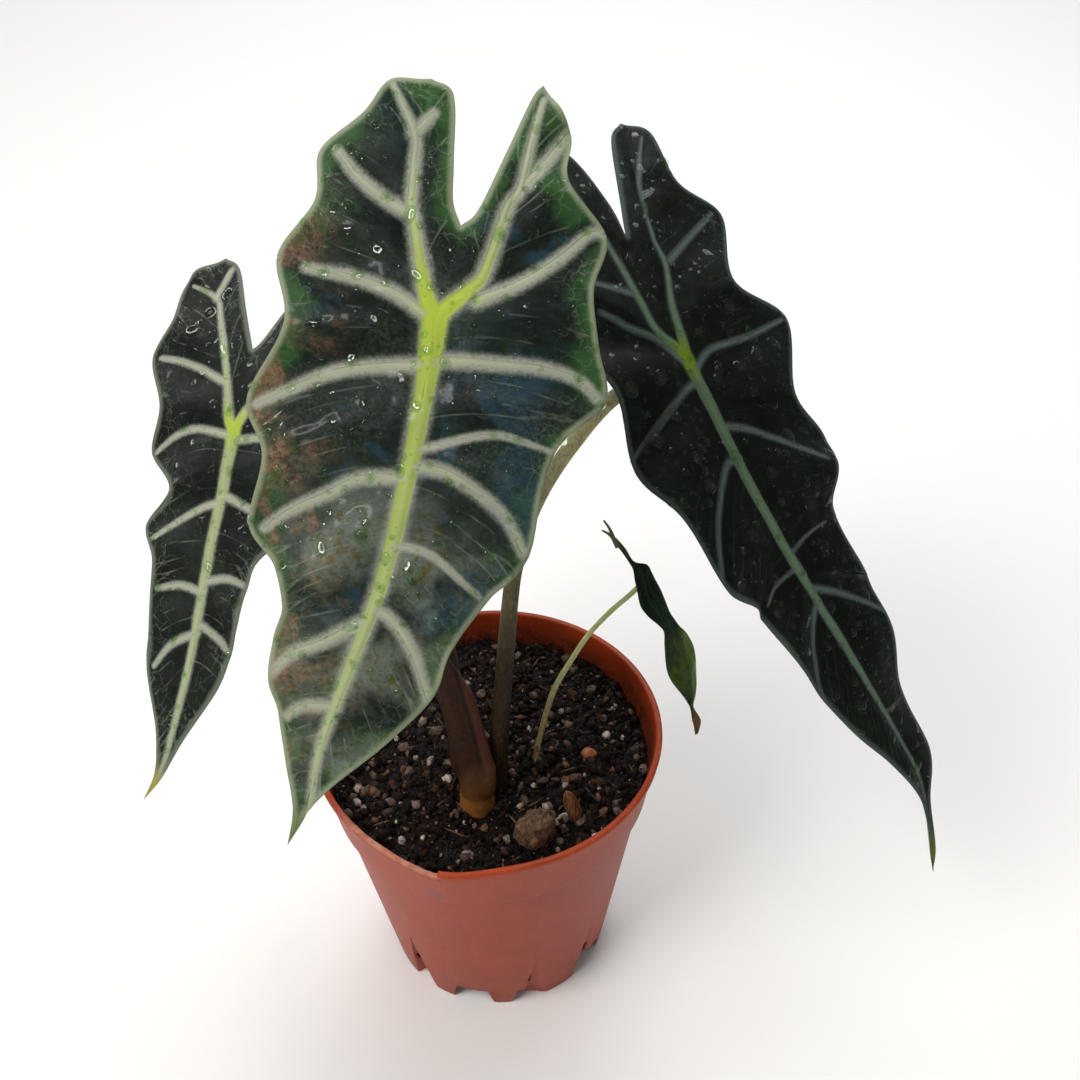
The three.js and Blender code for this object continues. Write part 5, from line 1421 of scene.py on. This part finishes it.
near_joint = made.ramp(made.math("ABSOLUTE", made.attribute("lane")), made.inputs["Reach"], 0.0)
near_joint = made.times(near_joint, made.ramp(made.attribute("lime"), 0.55, 0.9))
far_in = made.plus(made.attribute("edge"), made.times(made.less(made.noise(75.0, 3.0, 0.6), 0.5), 26.0))
mist = made.times(made.mottled(38.0, 4.0, 0.6, 0.42, 0.7), made.mottled(900.0, 4.0, 0.7, 0.4, 0.68))
toward_tip = made.times(made.ramp(made.attribute("tip_far"), 112.0, 84.0),
                        made.mottled(48.0, 5.0, 0.6, 0.36, 0.62))
relief = made.plus(made.times(core_mask, 0.5), made.times(fine_line, 0.4))
relief = made.plus(relief, made.times(strands, 0.25))
relief = made.plus(relief, made.times(made.noise(1900.0, 3.0, 0.6), 0.16))
made.give(Height=relief, Mist=mist, Border=made.ramp(far_in, 8.0, -1.0),
          Hub=made.times(near_joint, made.ramp(made.attribute("core"), 1.6, 0.7)),
          Haze=made.times(toward_tip, made.ramp(hairs, 0.25, 0.6, 0.7, 1.0)),
          Wet=made.ramp(made.noise(85.0, 2.0, 0.5, distortion=0.8), 0.56, 0.6))


def upper_finish(name, tint, core_shares, gloss, shine, haze, wet, hub_reach):
    """The upper face: a glossy dark skin under the pale felt of its veins."""
    upper = Finish(name)
    marks = upper.effect(leaf_pattern, Reach=hub_reach).outputs
    upper.colour = upper.mix(upper.mottled(45.0, 4.0, 0.6, 0.4, 0.66), tint["dark"], tint["lighter"])
    upper.lay(marks["Border"], tint["border"], 0.85)
    sideways_at = upper.along_axis("X")
    # Bronze patches on the left of the blade are a painted reflection of warm surroundings.
    bronze_reflection = upper.times(upper.ramp(upper.noise(26.0, 4.0, 0.75, distortion=0.6), 0.485, 0.58, 0.0, 0.9),
                         upper.ramp(sideways_at, -0.022, -0.045))
    scuffed = upper.mottled(700.0, 4.0, 0.75, 0.36, 0.6, 0.25, 1.0)
    upper.lay(upper.times(bronze_reflection, scuffed),
              upper.mix(upper.mottled(150.0, 3.0, 0.5, 0.4, 0.6), tint["bronze_reflection"], tint["warm_bronze_reflection"]))
    # Bluish patches on the right of the blade are a painted reflection of the sky.
    sky_reflection = upper.times(upper.ramp(upper.noise(31.0, 4.0, 0.7, distortion=0.9), 0.52, 0.62, 0.0, 0.75),
                         upper.ramp(sideways_at, -0.045, -0.03))
    upper.lay(sky_reflection, tint["sky_reflection"])
    upper.lay(marks["Grain"], tint["grain"], 0.08)
    upper.lay(marks["Mist"], tint["mist"], 0.2)
    right_half = upper.ramp(sideways_at, -0.05, -0.035, 0.3, 1.0)
    hazy = upper.mix(upper.mottled(480.0, 3.0, 0.6, 0.52, 0.64), tint["haze"], tint["fleck"])
    upper.lay(upper.times(marks["Haze"], upper.times(right_half, haze)), hazy)
    upper.lay(marks["Fine"], tint["fine"], 0.36)
    upper.lay(marks["Felt"], tint["felt"], 0.85)
    core = upper.mix(marks["Lime"], tint["pale"], tint["lime"])
    # A paler colour along the middle of each vein's core is a painted highlight on its crest.
    core = upper.mix(upper.times(marks["Crest"], 0.4), core,
                     upper.mix(marks["Lime"], tint["pale_crest"], tint["lime_crest"]))
    core = upper.mix(upper.mottled(500.0, 3.0, 0.6, 0.45, 0.75, 0.0, 0.25), core, tint["felt"])
    upper.lay(upper.times(marks["Core"], upper.ramp(marks["Lime"], 0.0, 0.4, *core_shares)), core)
    upper.lay(marks["Hub"], tint["hub"])
    upper.lay(marks["Rim"], tint["rim"], 0.8)
    upper.lay(marks["Tip"], tint["tip"], 0.85)
    rough = upper.mottled(120.0, 3.0, 0.5, 0.35, 0.65, gloss, gloss + 0.08)
    rough = upper.plus(rough, upper.times(marks["Felt"], 0.25))
    upper.set(Base_Color=upper.colour, Roughness=rough, Normal=upper.bump(marks["Height"], 0.0004, 0.9),
              Coat_Weight=upper.times(marks["Wet"], wet), Coat_Roughness=0.1, Specular_IOR_Level=shine)
    return upper


def under_finish(name, skin_colour, flush, vein_colour):
    """The underside: dull purple-green skin with prominent paler veins."""
    below = Finish(name)
    marks = below.effect(leaf_pattern).outputs
    below.colour = below.mix(below.mottled(40.0, 4.0, 0.6, 0.35, 0.65), skin_colour, flush)
    below.lay(marks["Grain"], "7C8A6A", 0.2)
    below.lay(marks["Fine"], vein_colour, 0.5)
    below.lay(marks["Core"], vein_colour)
    below.lay(marks["Rim"], "8A8F70", 0.7)
    below.set(Base_Color=below.colour, Roughness=below.mottled(120.0, 3.0, 0.5, 0.35, 0.65, 0.45, 0.58),
              Normal=below.bump(marks["Height"], 0.0005, 0.9))
    return below


underside = under_finish("blade underside", "45473A", "553E42", "8E9A66")
water = Finish("water")
lit_through = water.times(water.add("ShaderNodeLightPath").outputs["Is Shadow Ray"], 0.85)
from_inside = water.add("ShaderNodeNewGeometry").outputs["Backfacing"]
# The clear water is tinted green, a painted shade that darkens the drops' bodies.
water.set(Base_Color=(0.5, 0.68, 0.42, 1), Roughness=0.0, Transmission_Weight=1.0, IOR=1.33,
          Alpha=water.less(1.0, water.math("MAXIMUM", lit_through, from_inside)))

# In each tint the crest colours are a painted highlight along the middle of the veins.
# In each tint the two bronze colours are a painted reflection of warm surroundings and the bluish one a
# painted reflection of the sky.
GREEN_BLACK = dict(dark="060E09", lighter="10211A", border="33582A", bronze_reflection="5A5238",
                   warm_bronze_reflection="86624A", sky_reflection="1C3644", grain="3C5242", mist="6E7466", haze="868E80",
                   fleck="7A7440", felt="A4A696", fine="98A48E", pale="A0A886", pale_crest="C2C8AC",
                   lime="96A848", lime_crest="B4C464", hub="A6B840", rim="929A7E", tip="6A7A4A")
YELLOW_TIP = dict(GREEN_BLACK, tip="A8A048", lime="94A06E", sky_reflection="1C2630", bronze_reflection="181D19",
                  dark="0A0E0C", lighter="161C18", border="141C16", rim="747A6C", mist="3C423C",
                  grain="1E2822", felt="ACAEA0", lime_crest="B2BA96", warm_bronze_reflection="20221C")
BLACK_GREEN = dict(dark="030603", lighter="0A130B", border="0D180C", bronze_reflection="0A0C08",
                   warm_bronze_reflection="0E0F09", sky_reflection="070B0A", grain="141C16", mist="161C17", haze="18201E",
                   fleck="18201E", felt="4E5653", fine="29322D", pale="515F58", pale_crest="64756C",
                   lime="54684E", lime_crest="6C845E", hub="6A840E", rim="4A544E", tip="6E7420")
# How many drops lie on a square metre, and their sizes in metres.
DROPS = {
    "fine": dict(Density=260000.0, Least_Size=0.00016, Most_Size=0.0007, Rarity_of_Big=3.0, Detail=1,
                 Spacing=0.0008, Length=1.0),
    "round": dict(Density=40000.0, Least_Size=0.0006, Most_Size=0.0016, Rarity_of_Big=1.7, Detail=2,
                  Spacing=0.003, Length=1.0),
    "big": dict(Density=12000.0, Least_Size=0.0013, Most_Size=0.0025, Rarity_of_Big=1.8, Detail=3,
                Spacing=0.007, Length=1.2),
}
BLADES = {
    "front": dict(
        leaf=FRONT_LEAF, slot="blade_dark_green", core_scale=1.0, felt_scale=0.57, seed=7,
        tint=GREEN_BLACK, core_shares=(0.55, 1.0), gloss=0.4, shine=0.14, haze=0.5, wet=0.1,
        hub_reach=24.0),
    "left": dict(
        leaf=LEFT_LEAF, slot="blade_dark_green", core_scale=0.8, felt_scale=0.38, seed=17,
        tint=YELLOW_TIP, core_shares=(0.5, 1.0), gloss=0.4, shine=0.08, haze=0.1, wet=0.04, hub_reach=9.0),
    "right": dict(
        leaf=RIGHT_LEAF, slot="blade_black_green", core_scale=0.85, felt_scale=0.36, seed=27,
        tint=BLACK_GREEN, core_shares=(0.5, 1.0), gloss=0.5, shine=0.1, haze=0.0, wet=0.03, hub_reach=9.0),
}
skin_facts = ("tint", "core_shares", "gloss", "shine", "haze", "wet", "hub_reach")
for side_name, facts in BLADES.items():
    facts["upper"] = upper_finish(side_name + " blade", *[facts[key] for key in skin_facts])
for side_name, facts in BLADES.items():
    blade = blade_mesh("blade_" + side_name, facts["leaf"], facts["core_scale"], facts["felt_scale"],
                       (facts["upper"], underside), facts["seed"])
    for kind, drops in DROPS.items():
        strew(kind + "_drops_" + side_name, blade, water, Flatness=0.5, Flat_Base=0.7, Roughness=0.0,
              Tumble=0.0, Seed=facts["seed"], **drops)
    node, slot_name = "leaf_" + side_name, facts["slot"]
    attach(blade, "root")
    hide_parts(node)

# Young leaf
# The youngest leaf is still narrow and soft. It is rolled at its two lobes, which end in thin
# tails, folded at its waist, thin and bright green below that, and browned at its curled tip.
YOUNG_STATIONS = [
    (43.8, 23.1, 168.4, 1.6, 10), (46.7, 21.2, 165.3, 1.8, 10), (49.4, 19.2, 161.4, 1.8, 5),
    (51.9, 18.2, 159.8, 5.4, 2), (53.1, 16.3, 157.1, 7.5, 0), (53.8, 14.3, 154.5, 8.6, 0),
    (55.1, 12, 151.3, 9.5, -2), (57.5, 9.7, 148, 8.9, -6), (60, 7.8, 145.2, 7.6, -12),
    (61.9, 6.4, 143.2, 7, -12), (63.7, 4.5, 140.3, 10.6, -6), (64.6, 2.5, 137.1, 12.5, -2),
    (65.4, 0.4, 133.7, 12, 2), (66.4, -1.8, 130.3, 10.4, 4), (67.5, -4, 126.7, 7.7, 2),
    (68.3, -6.3, 123, 3.5, 0), (68.6, -7.8, 120.7, 1.4, 0), (69.8, -9.5, 117.3, 3, 6),
    (70.4, -10.4, 115.1, 2.8, 6), (70.2, -12, 112.3, 1.2, 6),
]
YOUNG_TAILS = [(43.7, 23, 168.4), (40.5, 26.8, 173.4), (39.9, 24.7, 170.9)]
YOUNG_THICKNESS = 0.45
YOUNG_ROWS = 170
YOUNG_COLUMNS = 19
YOUNG_WAIST = 0.48
YOUNG_FALL = (0.42, -0.56, -0.71)
YOUNG_THIN_EDGE = 0.8
YOUNG_TAIL_RADII = (0.9, 0.75, 0.5, 0.3)

station_line = curve_through(YOUNG_STATIONS)(np.linspace(0, len(YOUNG_STATIONS) - 1, YOUNG_ROWS))
fall = np.array(YOUNG_FALL)
fall /= np.linalg.norm(fall)
sideline = np.cross((0, 0, 1), fall)
sideline /= np.linalg.norm(sideline)
young_points, young_normals, young_values = [], [], {"across": [], "along": [], "edge": [], "midrib": []}
for k, (x, y, z, width, twist) in enumerate(station_line):
    angle = math.radians(twist)
    across = sideline * math.cos(angle) + np.cross(fall, sideline) * math.sin(angle)
    normal = np.cross(fall, across)
    for share in np.linspace(-0.5, 0.5, YOUNG_COLUMNS):
        way = (1 if k < YOUNG_ROWS * YOUNG_WAIST else -0.6) * min(1, abs(k / YOUNG_ROWS - YOUNG_WAIST) * 8)
        cup = 0.16 * width * (4 * share * share - 0.4) * way
        ripple = 0.4 * math.sin(k * 0.23 + share * 5) * abs(share) * 2 * min(1, width / 6)
        young_points.append(np.array((x, y, z)) + across * share * width + normal * (cup + ripple))
        young_normals.append(normal)
        young_values["across"].append(share)
        young_values["along"].append(k / (YOUNG_ROWS - 1))
        young_values["edge"].append((0.5 - abs(share)) * width)
        young_values["midrib"].append(abs(share) * width)
young_points, young_normals = np.array(young_points), np.array(young_normals)
count = len(young_points)
index = np.arange(count).reshape(YOUNG_ROWS, YOUNG_COLUMNS)
young_faces, young_slots = [], []
for k in range(YOUNG_ROWS - 1):
    for j in range(YOUNG_COLUMNS - 1):
        a, b, c, d = index[k, j], index[k, j + 1], index[k + 1, j + 1], index[k + 1, j]
        young_faces += [(a, b, c, d), (count + d, count + c, count + b, count + a)]
        young_slots += [0, 1]
rim_line = list(index[0, :]) + list(index[1:, -1]) + list(index[-1, -2::-1]) + list(index[-2:0:-1, 0])
for a, b in zip(rim_line, rim_line[1:] + rim_line[:1]):
    young_faces.append((b, a, count + a, count + b))
    young_slots.append(0)
taper = np.clip(np.array(young_values["edge"]) / YOUNG_THIN_EDGE, 0.35, 1)[:, None] * YOUNG_THICKNESS / 2
young_sheet = np.vstack([young_points + young_normals * taper, young_points - young_normals * taper])
young_values = {key: np.concatenate([numbers, numbers]) for key, numbers in young_values.items()}
tail_start = np.array(YOUNG_TAILS[0], dtype=float)
for end in YOUNG_TAILS[1:]:
    bowed = (tail_start + np.array(end)) / 2 + np.array((0.3, -0.3, 0.5))
    middles = (tail_start + fall * 3, tail_start, bowed, end)
    stations = [tuple(place) + (radius,) for place, radius in zip(middles, YOUNG_TAIL_RADII)]
    points, faces, _ = tube(stations, 14, 24)
    young_faces += [tuple(len(young_sheet) + k for k in face) for face in faces]
    young_slots += [2] * len(faces)
    young_sheet = np.vstack([young_sheet, points])
    for key in young_values:
        young_values[key] = np.concatenate([young_values[key], np.zeros(len(points))])
young = make_piece("blade_young", young_sheet, young_faces, young_values, young_slots)


def soft_finish(name, first, second, low_first, low_second, gloss):
    """Soft young blade skin, browned at the tip, with a paler midrib and edge, and one half below the waist
    painted lighter as painted light.
    """
    soft = Finish(name)
    along = soft.attribute("along")
    cloud = soft.mottled(110.0, 4.0, 0.65, 0.35, 0.65)
    below_waist = soft.ramp(along, 0.46, 0.54)
    # Below the waist the half of the blade where across is above zero is painted lighter: painted light.
    cloud_and_lit_half = soft.math("MAXIMUM", soft.times(cloud, 0.5), soft.ramp(soft.attribute("across"), 0.0, 0.35))
    soft.colour = soft.mix(below_waist, soft.mix(cloud, first, second),
                           soft.mix(cloud_and_lit_half, low_first, low_second))
    soft.lay(soft.ramp(soft.attribute("midrib"), 0.8, 0.1, 0.0, 0.22), "56703A")
    soft.lay(soft.ramp(soft.attribute("edge"), 0.6, 0.15, 0.0, 0.5), "56664A")
    soft.lay(soft.ramp(along, 0.83, 0.9), "7A5620")
    soft.lay(soft.ramp(along, 0.14, 0.02), "6C6A52")
    folds = soft.noise(1.0, 4.0, 0.6, soft.add("ShaderNodeCombineXYZ", {
        "X": soft.times(soft.attribute("across"), 9.0), "Y": soft.times(along, 13.0)}).outputs["Vector"])
    soft.lay(soft.ramp(folds, 0.4, 0.7, 0.0, 0.4), "151F10")
    soft.set(Base_Color=soft.colour, Roughness=soft.ramp(folds, 0.3, 0.7, gloss, gloss + 0.12),
             Normal=soft.bump(folds, 0.002, 1.0), Specular_IOR_Level=0.22)
    return soft


young_top = soft_finish("young blade top", "0E2016", "244632", "182C06", "5E800A", 0.24)
young_below = soft_finish("young blade underside", "2E4612", "4A6220", "34480E", "526A1C", 0.38)
tail_skin = soft_finish("young blade tails", "84846A", "6A6850", "84846A", "6A6850", 0.5)
for finish in (young_top, young_below, tail_skin):
    young.data.materials.append(finish.material)
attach(young, "root")
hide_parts("leaf_young")

# Floor and light
# A wide pale floor turns the studio into one soft white room. Big soft lamps stand at the left,
# overhead and in front, one lights the far floor, and two rings of light make the drops glint.
FLOOR_SIZE = 6

floor_mesh = bpy.data.meshes.new("floor")
corners = [(x * FLOOR_SIZE, y * FLOOR_SIZE, 0) for x, y in ((-1, -1), (1, -1), (1, 1), (-1, 1))]
floor_mesh.from_pydata(corners, [], [(0, 1, 2, 3)])
floor = in_scene("floor", floor_mesh)
paper = Finish("floor paper")
paper.set(Base_Color="F4F3F1", Roughness=0.9)
floor_mesh.materials.append(paper.material)

LAMP_MIDDLE = (0.5, 0.5, 0.0)
RING_HOLE = 0.37
ROOM_TINT = (1.0, 0.995, 0.98, 1)
ROOM_STRENGTH = 0.24
# Each lamp's place, what it is turned to, its size, power and tint.
LAMPS = {
    "key": ((-0.8, -0.6, 1.3), (0.0, 0.0, 0.17), 0.75, 17.0, (1.0, 0.985, 0.96)),
    "overhead": ((0.3, 0.6, 1.3), (0.0, 0.0, 0.15), 0.9, 8.0, (0.95, 0.98, 1.0)),
    "front": ((0.85, -1.2, 0.8), (0.0, 0.0, 0.15), 0.7, 0.8, (1.0, 0.99, 0.98)),
    "far floor": ((0.0, 1.9, 1.7), (0.0, 1.7, 0.0), 1.6, 22.0, (1.0, 1.0, 1.0)),
    "near ring": ((-0.52, -0.78, 1.08), (0.0, -0.03, 0.25), 0.36, 14.0, (1.0, 1.0, 1.0)),
    "left ring": ((-0.63, 0.27, 0.79), (0.0, 0.0, 0.2), 0.5, 9.0, (1.0, 1.0, 1.0)),
}
bpy.context.scene.view_settings.view_transform = "Standard"
for name, (place, target, size, power, tint) in LAMPS.items():
    lamp_data = bpy.data.lights.new(name, "AREA")
    lamp_data.size = size
    lamp_data.energy = power
    lamp_data.color = tint
    lamp = in_scene(name, lamp_data)
    lamp.location = place
    lamp.rotation_euler = (Vector(target) - Vector(place)).to_track_quat("-Z", "Y").to_euler()
    if name == "key":
        lamp.visible_glossy = False
    if name.endswith("ring"):
        lamp_data.shape = "DISK"
        lamp_data.use_nodes = True
        ring = Finish(name, tree=lamp_data.node_tree)
        spot = ring.add("ShaderNodeNewGeometry").outputs["Parametric"]
        off_middle = ring.on_pair("DISTANCE", spot, LAMP_MIDDLE).outputs["Value"]
        lit = ring.math("GREATER_THAN", off_middle, RING_HOLE)
        ring.put(ring.tree.nodes["Emission"].inputs["Strength"], lit)
        lamp.visible_diffuse = False
room = bpy.data.worlds.new("room")
room.use_nodes = True
backdrop = room.node_tree.nodes["Background"].inputs
backdrop["Color"].default_value = ROOM_TINT
backdrop["Strength"].default_value = ROOM_STRENGTH
bpy.context.scene.world = room
